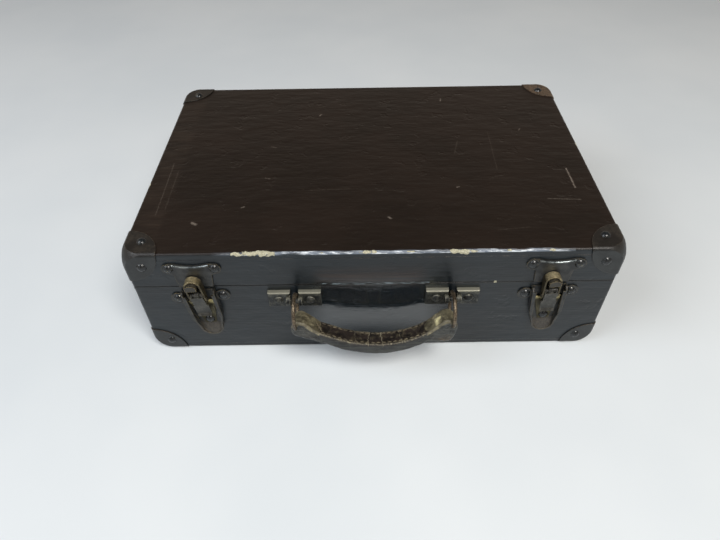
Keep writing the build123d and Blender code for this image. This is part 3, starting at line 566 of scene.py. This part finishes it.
def dull_metal(
    name, dark, mid, bright, rough=(0.34, 0.5), metal=0.8, edge=0.4, rubbed=0.6, shade_to_shine=None, top=None
):
    """Aged metal: a dark tone, a mid tone, and a bright tone on rubbed edges and patches.
    Upward faces above one height get a painted highlight; between two heights painted shade turns
    into a painted highlight.
    """
    material, tree, place = start_material(name)
    cloud, fine, rims = age_masks(tree, place, 5.0, 1.0, edge, low=0.40)
    layers = [([fine], 1.0, mid), ([cloud, fine], rubbed, bright), ([rims], 0.7, bright)]
    if top:
        # A painted highlight on faces that look up, above the given height.
        painted_top_highlight = region(tree, place, (*EVERYWHERE_LOW, top), EVERYWHERE_HIGH, 0.6)
        layers.append(([facing(tree, (0, -0.3, 0.95), 0.25, 0.7), painted_top_highlight], 0.8, bright))
    if shade_to_shine:
        # Painted shade below the lower height turns into a painted highlight above the higher one,
        # over real wear on the links' crowns.
        low, high = shade_to_shine
        worn_and_lit_end = region(tree, place, (*EVERYWHERE_LOW, high), EVERYWHERE_HIGH, high - low)
        painted_shade_end = add(tree, MATH, {0: 1.0, 1: worn_and_lit_end}, operation="SUBTRACT")
        layers += [([painted_shade_end], 0.85, dark), ([worn_and_lit_end], 0.5, bright)]
    colour = coats(tree, dark, layers)
    bare = coats(tree, metal, [([fine], 1.0, metal * 0.8), ([rims], 1.0, 0.95)])
    gloss = coats(tree, rough[0], [([fine], 1.0, rough[1])])
    normal = relief(tree, [(cloud, 0.05), (fine, 0.03)], rounding=0.3)
    close_material(tree, colour, gloss, normal, {"Metallic": bare})
    return material


GREY = {"metal": 0.5, "rough": (0.40, 0.54), "rubbed": 0.25}
# Above this height the brackets' upward faces get a painted highlight.
PAD_HIGHLIGHT_FROM = 70.5
# Heights over which painted shade turns into a painted highlight, on the links and on the springs.
LINK_SHADE_TO_SHINE, SPRING_SHADE_TO_SHINE = (88, 94), (61.5, 64.5)
lever_metal = dull_metal("dull_plated_lever", "252523", "3c3c39", "8d8b80", **GREY)
bracket_steel = dull_metal(
    "painted_bracket", "101315", "1c1f20", "8f8e80", edge=1.4, top=PAD_HIGHLIGHT_FROM, **GREY
)
link_brass = dull_metal("worn_brass_link_with_painted_shine", "2f2b22", "a8945e", "e6d8b0", shade_to_shine=LINK_SHADE_TO_SHINE)
spring_brass = dull_metal("tarnished_brass_spring_with_painted_shade", "2d2a1c", "6e6134", "e3d69f", shade_to_shine=SPRING_SHADE_TO_SHINE)
pin_steel = dull_metal("dark_steel_pin", "1f1e1c", "35332f", "7a7566", rubbed=0.3)
ring_steel = dull_metal("rubbed_ring_steel", "332d26", "6b5f4e", "ab9b81", rubbed=0.4)
hinge_steel = dull_metal("aged_hinge_steel", "1f1d1b", "3c3832", "80765f", metal=0.6)
print("metals ready")

# %% [markdown]
# The rivets of the case were set before the last coat of enamel, so they are glossy black domes
# that catch one small highlight each. Only a worn spot on the crown shows metal. Those of the
# handle's brackets are rubbed like the brackets and share their finish.

# %% Painted rivets
def painted_rivet():
    """Glossy black domes with specks of worn metal."""
    material, tree, place = start_material("painted_rivet")
    fine = mottling(tree, place, 0.9, detail=4.0)
    worn = mottling(tree, place, 2.4, 0.60, 0.68, shift=5.0)
    colour = coats(tree, "14171a", [([fine], 1.0, "262a2c"), ([worn, fine], 0.8, "8d8876")])
    bare = coats(tree, 0.1, [([worn], 1.0, 0.7)])
    gloss = coats(tree, 0.16, [([fine], 1.0, 0.28)])
    normal = relief(tree, [(fine, 0.02)])
    close_material(tree, colour, gloss, normal, {"Metallic": bare})
    return material


rivet_finish = painted_rivet()
print("rivets ready")

# %% [markdown]
# Each piece of the frame now gets its finish by its name, and its shape stays as it is. The first
# entry that fits a name wins.

# %% Dress the frame
FINISHES = [
    ("base_rim_strip_left", softwood_y),
    ("base_rim_strip_right", softwood_y),
    ("base_rim_strip", softwood_x),
    ("base_panel_cleat", softwood_y),
    ("handle_bracket", bracket_steel),
    ("handle_ring", ring_steel),
    ("rivets", rivet_finish),
    ("_corner_", corner_finish),
    ("_pin", pin_steel),
    ("_lever", lever_metal),
    ("_link", link_brass),
    ("_spring", spring_brass),
    ("latch", plate_finish),
    ("hinge", hinge_steel),
    ("", enamel),
]
for name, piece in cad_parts.items():
    finish = next(material for part, material in FINISHES if part in name)
    piece.data.materials.clear()
    piece.data.materials.append(finish)
print("dressed", len(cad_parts), "pieces")

# %% [markdown]
# The leather. The handle is a thick strap of black leather, folded and stitched along both edges
# of its upper face, so those edges stand up as seams. Its ends are laid in layers round the steel
# rings. Years of carrying have cracked the middle across and worn the ends and seams down to tan.
# Everything is placed in the handle's own plane: x runs along the grip, t climbs from the grip to
# the rings, and n points out of the case.

# %% The handle's plane and sizes
HANDLE_AXIS = Vector((0.0, -141.8, 65.0))
HANDLE_LEAN = math.radians(18.0)
UP_T = Vector((0.0, math.sin(HANDLE_LEAN), math.cos(HANDLE_LEAN)))
OUT_N = Vector((0.0, -math.cos(HANDLE_LEAN), math.sin(HANDLE_LEAN)))
GRIP_HALF_LENGTH = 44.5
GRIP_HALF_WIDTH = 10.0
INNER_MIDDLE, INNER_END = -25.8, -13.8
OUTER_MIDDLE, OUTER_END = -36.3, -23.2
RING_X, RING_RADIUS, RING_WIRE = 61.8, 13.5, 1.5
TAB_START, TAB_HALF_WIDTH = 44.8, 9.5
# The circles, x, t and radius, that the leather of each end goes round.
TAB_LOOPS = {
    "left": [(58.5, -11.2, 7.0), (56.5, -12.6, 6.6)],
    "right": [(58.5, -11.2, 7.0), (56.5, -18.0, 6.6)],
}


def on_handle(x, t, n):
    """A point of the handle's plane, in metres."""
    return (HANDLE_AXIS + Vector((x, 0, 0)) + UP_T * t + OUT_N * n) * MM


def arc(x, middle, end):
    """Height of a circular arc over x that passes through its middle and both ends."""
    rise = abs(end - middle)
    radius = (GRIP_HALF_LENGTH**2 + rise**2) / (2 * rise)
    return middle + radius - math.sqrt(max(radius**2 - x**2, 0.0))


def smooth(value, low, high):
    """0 under low, 1 over high, smooth between."""
    share = min(max((value - low) / (high - low), 0.0), 1.0)
    return share * share * (3 - 2 * share)


def bell(value, middle, width):
    """A soft bump of height 1 round a middle value."""
    return math.exp(-(((value - middle) / width) ** 2))


def lumps(a, b, c, scale, shift):
    """Smooth noise between -1 and 1 at a point. The scales are one over the sizes of the lumps."""
    return noise.noise(Vector((a * scale[0], b * scale[1], c * scale[2] + shift)))


print("grip thickness in the middle:", round(INNER_MIDDLE - OUTER_MIDDLE, 1), "mm")

# %% [markdown]
# A mesh that is a grid of rings bends best and takes fine relief, so the grip is swept: a closed
# section of 96 points, repeated every half millimetre along x. Relief goes straight into the
# points: raised seams, the hollow between them, lumps from the hand and cracks across. What each
# point is (on a seam, in a crack, on the upper face) is stored with it, and the material reads
# that.

# %% Mesh helpers for leather
AMOUNTS = ("seam", "crack", "upper")


def store_amounts(mesh, amounts):
    """Store the seam, crack and upper amounts of each point."""
    for name, values in zip(AMOUNTS, zip(*amounts)):
        mesh.attributes.new(name, "FLOAT", "POINT").data.foreach_set("value", values)


def smooth_mesh(name, points, faces):
    """A smoothly shaded mesh."""
    mesh = bpy.data.meshes.new(name)
    mesh.from_pydata(points, [], faces)
    mesh.shade_smooth()
    return mesh


def wall_faces(base, steps, count):
    """The faces that join each ring of count points to the next."""
    faces = []
    for i in range(steps):
        for j in range(count):
            a, b = base + i * count + j, base + i * count + (j + 1) % count
            faces.append((a, b, b + count, a + count))
    return faces


def tube_mesh(name, rings):
    """A mesh from rings of points, with its two ends closed."""
    count, steps = len(rings[0]), len(rings) - 1
    faces, last = wall_faces(0, steps, count), steps * count
    faces.append(tuple(range(count))[::-1])
    faces.append(tuple(last + j for j in range(count)))
    return smooth_mesh(name, [point for ring in rings for point in ring], faces)


def leather_piece(mesh, material, node):
    """Put a leather mesh in the scene, riding on the handle in place of its plain solid."""
    piece = put(mesh.name, mesh)
    mesh.materials.append(material)
    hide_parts(node)
    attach(piece, "handle")
    return piece


print("leather helpers ready")

# %% The grip's points
SECTION_POINTS, SECTION_POWER = 96, 5
GRIP_STEPS = 190
# The section stays this far inside the plain solid, across and up, so that relief has room.
ROOM_ACROSS, ROOM_UP = 0.5, 0.4
SEAM_AT, SEAM_WIDTH = 8.3, 1.3
# How far the seams rise, the middle sinks and a crack cuts in.
SEAM_RISE, HOLLOW_DEPTH, CRACK_DEPTH = 0.7, 0.6, 0.55
# Lumps from the hand, dents and fine wrinkles: height, one over their sizes, and a shift.
BUMPS = [
    (0.26, (0.10, 0.16, 0.2), 7.0),
    (0.16, (0.24, 0.20, 0.3), 4.0),
    (0.10, (0.55, 0.45, 0.5), 2.0),
]
# How far the seams and cracks wander, how wide a crack is, and how much that varies.
SEAM_WANDER, CRACK_WANDER, CRACK_WIDTH, WIDTH_VARIES = 0.7, 1.1, 0.32, 0.2
# Where along x the relief calms down, by what share, and where and how far the grip rounds off.
CALM_FROM, CALM_BY, ROUND_FROM, ROUND_BY = 41.0, 0.6, 42.6, 0.9
# The old strap hangs higher on its left and lower on its right.
SAG, SAG_REACH, SAG_FADE = 0.7, 38.0, (36.0, 44.0)
# Each crack: its place along x, its depth, and how far it slants across the strap, in millimetres.
CRACKS = [
    (-35.5, 0.5, -2.0),
    (-27.0, 0.35, 1.8),
    (-15.2, 0.6, 1.4),
    (-4.4, 0.9, -0.8),
    (-2.6, 0.5, 1.6),
    (6.2, 1.0, 0.9),
    (14.6, 0.35, -1.8),
    (21.3, 0.7, 1.2),
    (27.5, 0.3, 2.4),
    (34.0, 0.5, -1.0),
]


def grip_sag(x):
    """How much higher than its plain arc the old strap hangs."""
    tilt = SAG - 2 * SAG * smooth(x, -SAG_REACH, SAG_REACH)
    return tilt * (1 - smooth(abs(x), *SAG_FADE))


def grip_point(x, share):
    """One point of the grip, with its seam, crack and upper amounts."""
    top, bottom = arc(x, INNER_MIDDLE, INNER_END), arc(x, OUTER_MIDDLE, OUTER_END)
    centre, half_thick = (top + bottom) / 2, (top - bottom) / 2
    angle = 2 * math.pi * share
    c, s = math.cos(angle), math.sin(angle)
    size = (abs(c) ** SECTION_POWER + abs(s) ** SECTION_POWER) ** (-1 / SECTION_POWER)
    n, t = (GRIP_HALF_WIDTH - ROOM_ACROSS) * c * size, (half_thick - ROOM_UP) * s * size
    upper = smooth(t / half_thick, 0.5, 0.9)
    ragged = SEAM_WANDER * noise.noise(Vector((x * 0.22, n * 0.05, 1.7)))
    seam = upper * bell(abs(n), SEAM_AT + ragged, SEAM_WIDTH)
    hollow = upper * smooth(SEAM_AT - abs(n), 0.4, 3.2)
    crack = 0.0
    for place, depth, slant in CRACKS:
        wander = CRACK_WANDER * noise.noise(Vector((place, n * 0.4, 3.1)))
        width = CRACK_WIDTH + WIDTH_VARIES * noise.noise(Vector((place, n * 0.3, 8.2)))
        bend = slant * n / GRIP_HALF_WIDTH + wander
        crack = max(crack, depth * bell(x, place + bend, width))
    crack *= smooth(t / half_thick, 0.35, 0.75)
    rise = SEAM_RISE * seam - HOLLOW_DEPTH * hollow - CRACK_DEPTH * crack * (1 - 0.4 * seam)
    for height, scale, shift in BUMPS:
        rise += height * lumps(x, n, t, scale, shift)
    outward = Vector((n, t)).normalized()
    rise *= 1 - CALM_BY * smooth(abs(x), CALM_FROM, GRIP_HALF_LENGTH)
    rounded = math.sqrt(max(1 - smooth(abs(x), ROUND_FROM, TAB_START) ** 2, 0.0))
    rise -= ROUND_BY * (1 - rounded)
    n, t = n + outward.x * rise, t + outward.y * rise
    return on_handle(x, centre + t + grip_sag(x), n), seam, crack, upper


def grip_mesh():
    """The grip's mesh and its stored amounts."""
    rings, amounts = [], []
    for i in range(GRIP_STEPS + 1):
        x = TAB_START * (2 * i / GRIP_STEPS - 1)
        points = [grip_point(x, j / SECTION_POINTS) for j in range(SECTION_POINTS)]
        rings.append([point for point, *_ in points])
        amounts += [rest for _, *rest in points]
    mesh = tube_mesh("leather_grip", rings)
    store_amounts(mesh, amounts)
    return mesh


grip_shape = grip_mesh()
print("grip has", len(grip_shape.vertices), "points")

# %% [markdown]
# Old black leather. The finish coat has a roughness near 0.4 and a fine grain of about a
# millimetre. Between the seams it is nearly black, cracks show pale dry fibre, seams are rubbed
# to tan, and the outer face, which rubs against legs, is scuffed to grey. The ends are bare tan
# on top, where the black coat is long gone, and grey with dirt at their sides. The right end also
# carries a rust stain and a drop of cream paint.

# %% Old leather
RUST_STAIN = ((57, -170, 40), (63, -150, 44), 8.0)
CREAM_SPOT = ((49.5, -151, 48), (53, -143, 57), 1.5)


def old_leather(title, side, upper_tone, rubbed, seam_tone, stained=False):
    """Worn leather: side is the tones of the faces, upper_tone those of the upper face."""
    material, tree, place = start_material(title)
    stored = [add(tree, "ShaderNodeAttribute", attribute_name=name) for name in AMOUNTS]
    seam, crack, upper = [node.outputs["Fac"] for node in stored]
    seam = add(tree, RANGE, {"Value": seam, "From Min": 0.3, "From Max": 0.85})
    crack = add(tree, RANGE, {"Value": crack, "From Min": 0.3, "From Max": 0.8})
    cloud = mottling(tree, place, 9.0, 0.38, 0.62, shift=2.0)
    blotch = mottling(tree, place, 4.0, 0.48, 0.62, detail=6.0, shift=5.0)
    fine = mottling(tree, place, 1.3, 0.36, 0.62, detail=6.0, rough=0.65, shift=8.0)
    streaks = mottling(tree, place, 1.2, 0.42, 0.62, stretch=(12, 1, 1), shift=6.0)
    grain = add(tree, "ShaderNodeTexVoronoi", {"Vector": place, "Scale": 1.3}, feature="F1")
    upper_layers = [([cloud], 1.0, upper_tone[1]), ([blotch, fine], 0.65, rubbed)]
    upper_colour = coats(tree, upper_tone[0], upper_layers)
    layers = [
        ([cloud], 1.0, side[1]),
        ([streaks], 0.6, side[2]),
        ([upper], 1.0, upper_colour),
        ([seam, fine, blotch], 0.9, seam_tone),
        ([seam, fine], 0.45, seam_tone),
        ([crack], 0.85, seam_tone),
    ]
    colour = coats(tree, side[0], layers)
    if stained:
        rust, cream = region(tree, place, *RUST_STAIN), region(tree, place, *CREAM_SPOT)
        stains = [([rust, fine], 0.6, "5d4c35"), ([rust, blotch], 0.5, "70593a")]
        colour = coats(tree, colour, [*stains, ([cream], 0.8, "e8e0ae")])
    gloss = coats(tree, 0.34, [([fine], 1.0, 0.52), ([seam], 1.0, 0.6), ([crack], 1.0, 0.75)])
    normal = relief(tree, [(cloud, 0.16), (blotch, 0.10), (fine, 0.06), (grain, 0.03)])
    close_material(tree, colour, gloss, normal)
    return material


GRIP_SIDE, GRIP_TOP = ("17191a", "27292a", "42443f"), ("15110f", "2b2420")
TAB_SIDE, TAB_TOP = ("1c1e1e", "2f3232", "4c4e4a"), ("433f32", "6a6551")
grip_leather = old_leather("cracked_black_leather", GRIP_SIDE, GRIP_TOP, "57503f", "8d8670")
TAB_TONES = (TAB_SIDE, TAB_TOP, "958e73", "6b6754")
tab_leather = old_leather("worn_tan_leather", *TAB_TONES)
stained_leather = old_leather("stained_tan_leather", *TAB_TONES, stained=True)
grip = leather_piece(grip_shape, grip_leather, "handle_grip")
print(grip.name, "rides on the handle")

# %% [markdown]
# The ends are the strap's own layers, carried up round the ring and sewn. Seen from the front an
# end is the tightest loop round one or two circles and the end of the grip. That outline is found
# by asking, for each direction, which shape reaches furthest. The mesh carries it across the
# strap's width, with softened edges, grooves where the layers part, and a dip where the ring goes
# in.

# %% The outline of an end
TAB_OUTLINE_POINTS = 150
TAB_SOFT = 1.6
# Where the layers part on the side of an end, as shares of the way in to its middle line.
TAB_LAYERS = (0.30, 0.56)
DIRECTIONS = 720
# The two root corners, x, t and radius, stay hidden inside the end of the grip.
TAB_ROOTS = [(40.0, -17.0, 0.0), (40.0, -25.1, 0.0)]


def tab_outline(loops):
    """Evenly spaced points round the end's loops and the grip's end."""
    shapes = [*loops, (TAB_START, INNER_END - 0.3, 0.0), *TAB_ROOTS]
    corners = []
    for k in range(DIRECTIONS):
        angle = 2 * math.pi * k / DIRECTIONS
        out = Vector((math.cos(angle), math.sin(angle)))
        x, t, radius = max(shapes, key=lambda s: s[0] * out.x + s[1] * out.y + s[2])
        corners.append(Vector((x, t)) + out * radius)
    pairs = list(zip(corners, corners[1:] + corners[:1]))
    runs = [(after - corner).length for corner, after in pairs]
    step, points, walked, target = sum(runs) / TAB_OUTLINE_POINTS, [], 0.0, 0.0
    for (corner, after), run in zip(pairs, runs):
        while run and target <= walked + run and len(points) < TAB_OUTLINE_POINTS:
            points.append(corner.lerp(after, (target - walked) / run))
            target += step
        walked += run
    return points


def tab_middle(point, loops):
    """The nearest point of the middle line, from the grip's end to the ring."""
    start = Vector((TAB_START + 2.5, (INNER_END + OUTER_END) / 2))
    end = sum((Vector(loop[:2]) for loop in loops), Vector((0, 0))) / len(loops)
    way = end - start
    share = min(max((point - start).dot(way) / way.length_squared, 0.0), 1.0)
    return start + way * share


print("outline of an end:", len(tab_outline(TAB_LOOPS["left"])), "points")

# %% The meshes of the two ends
SIDE_STEPS, EDGE_STEPS, FLAT_STEPS = 14, 5, 36
DEEPEST = 0.9
# How far the lumps, dents, wrinkles and soft edges of an end rise, in millimetres.
LUMP_RISE, DENT_RISE, WRINKLE_RISE, EDGE_RISE = 0.55, 0.40, 0.22, 0.25
# The dip round the ring and its two gaps to the wire, and how far the outline is drawn in.
RING_DIP, DIP_FROM, DIP_TO, DRAWN_IN = 0.9, 0.2, 2.4, 0.5
GROOVE_WIDTH, GROOVE_DEPTH, SIDE_LUMPS = 0.05, 0.5, 0.5


def across_steps():
    """Steps across an end: n, inset from the outline, and share of the way to the middle line."""
    shares = [DEEPEST * (1 - k / SIDE_STEPS) for k in range(SIDE_STEPS + 1)]
    side = [(-TAB_HALF_WIDTH, TAB_SOFT, share) for share in shares]
    for k in range(1, EDGE_STEPS + 1):
        turn = math.pi / 2 * k / EDGE_STEPS
        in_n, inset = TAB_SOFT * (1 - math.cos(turn)), TAB_SOFT * (1 - math.sin(turn))
        side.append((-TAB_HALF_WIDTH + in_n, inset, 0.0))
    start, flat = -TAB_HALF_WIDTH + TAB_SOFT, 2 * (TAB_HALF_WIDTH - TAB_SOFT)
    middle = [(start + flat * k / FLAT_STEPS, 0.0, 0.0) for k in range(1, FLAT_STEPS)]
    return side + middle + [(-n, inset, share) for n, inset, share in reversed(side)]


def tab_mesh(side):
    """The mesh of one end and its stored amounts, mirrored for the left."""
    sign, loops = (-1 if side == "left" else 1), TAB_LOOPS[side]
    outline = tab_outline(loops)
    rings, amounts = [], []
    for n, inset, share in across_steps():
        ring = []
        for k, point in enumerate(outline):
            middle = tab_middle(point, loops)
            before, after = outline[k - 1], outline[(k + 1) % len(outline)]
            out = Vector((after.y - before.y, before.x - after.x)).normalized()
            place = (point - out * inset).lerp(middle, share)
            groove = sum(bell(share, layer, GROOVE_WIDTH) for layer in TAB_LAYERS)
            edge = bell(abs(n), TAB_HALF_WIDTH - TAB_SOFT, 1.2) * (1 - smooth(share, 0.0, 0.15))
            spot = (sign * place.x, place.y, n)
            lump = lumps(*spot, (0.16, 0.2, 0.2), 5.0)
            dent = lumps(*spot, (0.34, 0.34, 0.3), 3.0)
            wrinkle = lumps(*spot, (0.7, 0.7, 0.6), 9.0)
            near_ring = math.hypot(place.x - RING_X, math.hypot(place.y, n) - RING_RADIUS)
            dip = 1 - smooth(near_ring, RING_WIRE + DIP_FROM, RING_WIRE + DIP_TO)
            free = smooth(place.x, TAB_START, TAB_START + 3.5) * (1 - share)
            rise = LUMP_RISE * lump + DENT_RISE * dent + WRINKLE_RISE * wrinkle
            rise = (rise + EDGE_RISE * edge - RING_DIP * dip) * free
            place += out * (rise - DRAWN_IN)
            sunk = GROOVE_DEPTH * groove + SIDE_LUMPS * (share > 0) * abs(lump)
            across = n - math.copysign(sunk, n)
            ring.append(on_handle(sign * place.x, place.y, across))
            topside = smooth(out.y, 0.05, 0.45) * (1 - smooth(share, 0.0, 0.12))
            amounts.append((edge * topside, 0.35 * groove, topside))
        rings.append(ring)
    mesh = tube_mesh(f"leather_tab_{side}", rings)
    store_amounts(mesh, amounts)
    if side == "left":
        mesh.flip_normals()
    return mesh


left_tab = leather_piece(tab_mesh("left"), tab_leather, "handle_tab_left")
right_tab = leather_piece(tab_mesh("right"), stained_leather, "handle_tab_right")
print("points of the ends:", [len(tab.data.vertices) for tab in (left_tab, right_tab)])

# %% [markdown]
# Stitches. A saddle maker sews the fold with waxed thread, about six stitches to the inch, and
# ties the left end with a cross of thicker thread. Each stitch is a short bead of thread that
# dips into the leather at both of its ends.

# %% Waxed thread and its stitches
STITCH_PITCH, STITCH_LENGTH, STITCH_SUNK = 4.4, 3.3, 0.5
# The radius of the rows' thread and of the cross's.
THREAD, CROSS_THREAD = 0.40, 0.7
# The rows run inside the seams by this much and stop short of the grip's ends.
ROW_INSET, ROW_STOP = 1.9, 4
# The threads of the cross, each between two points, x and n.
CROSS = [
    ((-41.5, 5.5), (-46.0, -1.0)),
    ((-46.5, 5.0), (-41.5, -1.5)),
    ((-44.0, 7.0), (-44.0, -4.5)),
]
# They lie over the grip and step up onto the end.
CROSS_LIFT, CROSS_STEP, STEP_END = 0.7, 1.6, 46.5
# A bead starts below its line, arches over it, and is thinner at its ends.
BEAD_STEPS, BEAD_SIDES = 6, 8
BEAD_SUNK, BEAD_ARCH, BEAD_THIN = 0.3, 0.45, 0.55


def waxed_thread():
    """Old linen thread, once pale and now grey with wax and dirt."""
    material, tree, place = start_material("waxed_linen_thread")
    dirt = mottling(tree, place, 6.0, detail=4.0)
    twist = mottling(tree, place, 0.4, 0.3, 0.7, detail=2.0)
    colour = coats(tree, "2b241c", [([dirt], 1.0, "6f664f"), ([twist], 0.3, "8d846b")])
    gloss = coats(tree, 0.5, [([twist], 1.0, 0.7)])
    normal = relief(tree, [(twist, 0.05)])
    close_material(tree, colour, gloss, normal)
    return material


def thread_bead(start, end, size, points, faces):
    """One stitch from start to end, both given as x, t and n on the handle."""
    base = len(points)
    along = (Vector(end) - Vector(start)).normalized()
    side = along.cross(Vector((0, 1, 0))).normalized()
    for i in range(BEAD_STEPS + 1):
        share = i / BEAD_STEPS
        bulge = math.sin(math.pi * share)
        lift = Vector((0, BEAD_ARCH * bulge - BEAD_SUNK, 0))
        middle = Vector(start).lerp(Vector(end), share) + lift
        radius = size * (BEAD_THIN + (1 - BEAD_THIN) * bulge)
        for j in range(BEAD_SIDES):
            angle = 2 * math.pi * j / BEAD_SIDES
            sideways, up = side * radius * math.cos(angle), Vector((0, radius * math.sin(angle), 0))
            points.append(on_handle(*(middle + sideways + up)))
    faces += wall_faces(base, BEAD_STEPS, BEAD_SIDES)


def stitch_mesh():
    """Two rows of stitches on the grip, and the cross at its left end."""
    points, faces = [], []

    def surface(x):
        return arc(x, INNER_MIDDLE, INNER_END)

    def over_cross(x):
        return surface(x) + CROSS_LIFT + smooth(-x, GRIP_HALF_LENGTH, STEP_END) * CROSS_STEP

    for n in (-SEAM_AT + ROW_INSET, SEAM_AT - ROW_INSET):
        for k in range(int(2 * (GRIP_HALF_LENGTH - ROW_STOP) / STITCH_PITCH) + 1):
            x = -GRIP_HALF_LENGTH + ROW_STOP + k * STITCH_PITCH
            both = [x - STITCH_LENGTH / 2, x + STITCH_LENGTH / 2]
            start, end = [(at, surface(at) + grip_sag(at) - STITCH_SUNK, n) for at in both]
            thread_bead(start, end, THREAD, points, faces)
    for both in CROSS:
        start, end = [(x, over_cross(x), n) for x, n in both]
        thread_bead(start, end, CROSS_THREAD, points, faces)
    mesh = smooth_mesh("grip_stitches", points, faces)
    mesh.materials.append(waxed_thread())
    return mesh


stitches = put("grip_stitches", stitch_mesh())
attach(stitches, "handle")
print("stitches have", len(stitches.data.polygons), "faces")

# %% [markdown]
# The stage: a pale table top and soft studio light. Black enamel is drawn by what it reflects.
# The front mirrors the table, so the table is bright and a little cool. The lid mirrors the far
# side of the room, so the surroundings are kept dim, and dimmer still towards the ceiling. The
# main lamp is soft but not huge, so that each rivet shows one small highlight, and a weaker,
# broader one fills from the left.

# %% Floor, lamps and surroundings
FLOOR_HALF = 3.0
# The strength of the surroundings overhead, what the side below adds, and how fast that fades.
CEILING, GLOW, FADE = 0.05, 0.74, 2.2


def pale_table():
    """A plain off-white lacquered table top."""
    material, tree, place = start_material("pale_lacquered_table")
    cloud = mottling(tree, place, 260.0, 0.3, 0.7, detail=3.0)
    colour = coats(tree, "dbe3e8", [([cloud], 1.0, "e2e9ed")])
    close_material(tree, colour, 0.55)
    return material


ways = ((-1, -1), (1, -1), (1, 1), (-1, 1))
floor_corners = [(x * FLOOR_HALF, y * FLOOR_HALF, 0) for x, y in ways]
floor_mesh = smooth_mesh("floor", floor_corners, [(0, 1, 2, 3)])
floor_mesh.materials.append(pale_table())
put("floor", floor_mesh)


def soft_lamp(name, place, aim, size, watts, colour):
    """A square soft lamp that points at a place."""
    data = bpy.data.lights.new(name, "AREA")
    data.size = size
    data.energy = watts
    data.color = linear(colour)[:3]
    lamp = put(name, data)
    lamp.location = place
    lamp.rotation_euler = (Vector(aim) - Vector(place)).to_track_quat("-Z", "Y").to_euler()


soft_lamp("key_lamp", (0.45, -0.95, 1.55), (0, -0.05, 0.05), 0.7, 27.0, "fffaf4")
soft_lamp("fill_lamp", (-1.3, -0.6, 1.4), (0, 0, 0.05), 1.2, 18.0, "f2f7ff")
world = bpy.data.worlds.new("studio")
bpy.context.scene.world = world
world.use_nodes = True
room = world.node_tree
look = add(room, "ShaderNodeTexCoord").outputs["Generated"]
height = add(room, "ShaderNodeSeparateXYZ", {"Vector": look}).outputs["Z"]
low = add(room, RANGE, {"Value": height, "To Min": 1.0, "To Max": 0.0})
faded = add(room, MATH, {0: low, 1: FADE}, operation="POWER")
dusk = add(room, MATH, {0: faded, 1: GLOW, 2: CEILING}, operation="MULTIPLY_ADD")
room.links.new(dusk.outputs["Value"], room.nodes["Background"].inputs["Strength"])
room.nodes["Background"].inputs["Color"].default_value = linear("f2e2d2")
bpy.context.scene.view_settings.view_transform = "Standard"
